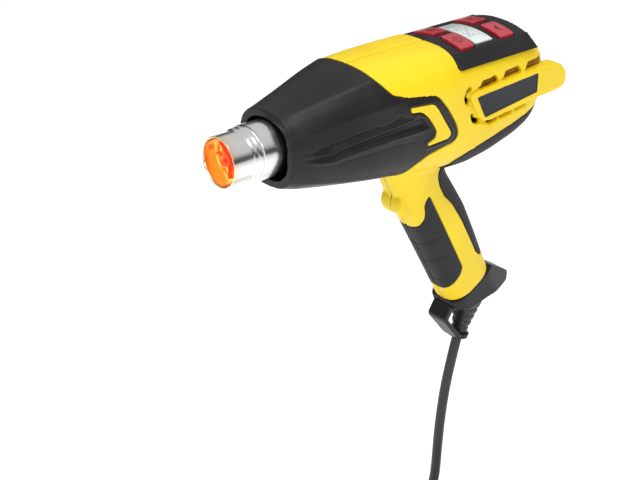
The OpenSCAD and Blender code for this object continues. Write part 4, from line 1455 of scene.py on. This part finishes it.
# A solid sheet behind each grille, which only carries the painted shade of the slot.
shade_sheet = grille.add("GeometryNodeMeshCube", {}, {"Size": (0.067, 0.0006, 0.012)}).outputs["Mesh"]
sheet_and_bar_places = []
for side in (-1, 1):
    sheet_at = grille.add("GeometryNodeTransform", {},
                          {"Geometry": shade_sheet,
                           "Translation": tuple(place(228, side * 31.3, 16.6))}).outputs["Geometry"]
    joined = grille.add("GeometryNodeJoinGeometry", {}, {"Geometry": bars}).outputs["Geometry"]
    moved = grille.add("GeometryNodeTransform", {},
                       {"Geometry": joined, "Translation": (0, side * 0.0322, 0)}).outputs["Geometry"]
    sheet_and_bar_places += [sheet_at, moved]
grille.close(grille.add("GeometryNodeJoinGeometry", {}, {"Geometry": sheet_and_bar_places}).outputs["Geometry"],
             painted_shade_brown)
screens = grille.grow("intake_grilles_and_shade_sheets")
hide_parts("intake_screens")
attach(screens, "gun_body")
print("grilles", len(screens.data.polygons), "faces")

# %% [markdown]
# ## Finishes of the inner parts
# The fan, motor, boards, leads and terminals are only seen when the shell is opened, but each is a
# real material with its own tone and grain. One function makes them, because they differ only in
# two colours, gloss, metal and the size of the grain.

# %% Inner parts
def workshop_finish(name, deep, pale, gloss, metal=0.0, scale=300, relief=0.1):
    made = Finish(name)
    tone = made.noise(made.where(), scale, 3)
    return made.surface(Base_Color=made.blend(tone, deep, pale), Metallic=metal,
                        Roughness=gloss + 0.15 * tone,
                        Normal=made.bump(tone, relief, 0.0002))


dress(workshop_finish("ring_moulding", (0.012, 0.012, 0.012), (0.02, 0.02, 0.02), 0.5), "mouth_ring")
dress(workshop_finish("fuse_aluminium", (0.6, 0.6, 0.61), (0.72, 0.72, 0.73), 0.3, 1.0), "thermal_fuse",
      "heat_sink")
dress(workshop_finish("duct_steel", (0.4, 0.4, 0.4), (0.52, 0.52, 0.52), 0.35, 1.0, 150), "air_duct")
dress(workshop_finish("fan_nylon", (0.015, 0.015, 0.016), (0.03, 0.03, 0.031), 0.42, 0.0, 900),
      "fan_housing", "fan_impeller", "board_switches", "cord_clamp")
dress(workshop_finish("motor_steel", (0.22, 0.23, 0.25), (0.33, 0.34, 0.36), 0.35, 0.8, 200), "motor_body")
dress(workshop_finish("solder_mask", (0.008, 0.10, 0.035), (0.014, 0.15, 0.05), 0.3, 0.0, 500),
      "control_board", "power_board")
dress(workshop_finish("natural_nylon", (0.62, 0.58, 0.46), (0.74, 0.70, 0.58), 0.4), "terminal_block")
dress(workshop_finish("lead_sleeving", (0.55, 0.53, 0.48), (0.72, 0.70, 0.66), 0.55, 0.0, 2500, 0.4),
      "lead_wires")
dress(workshop_finish("blade_brass", (0.62, 0.46, 0.20), (0.76, 0.60, 0.30), 0.22, 1.0, 180), "plug_pins")
dress(zinc_plated, "motor_screws")
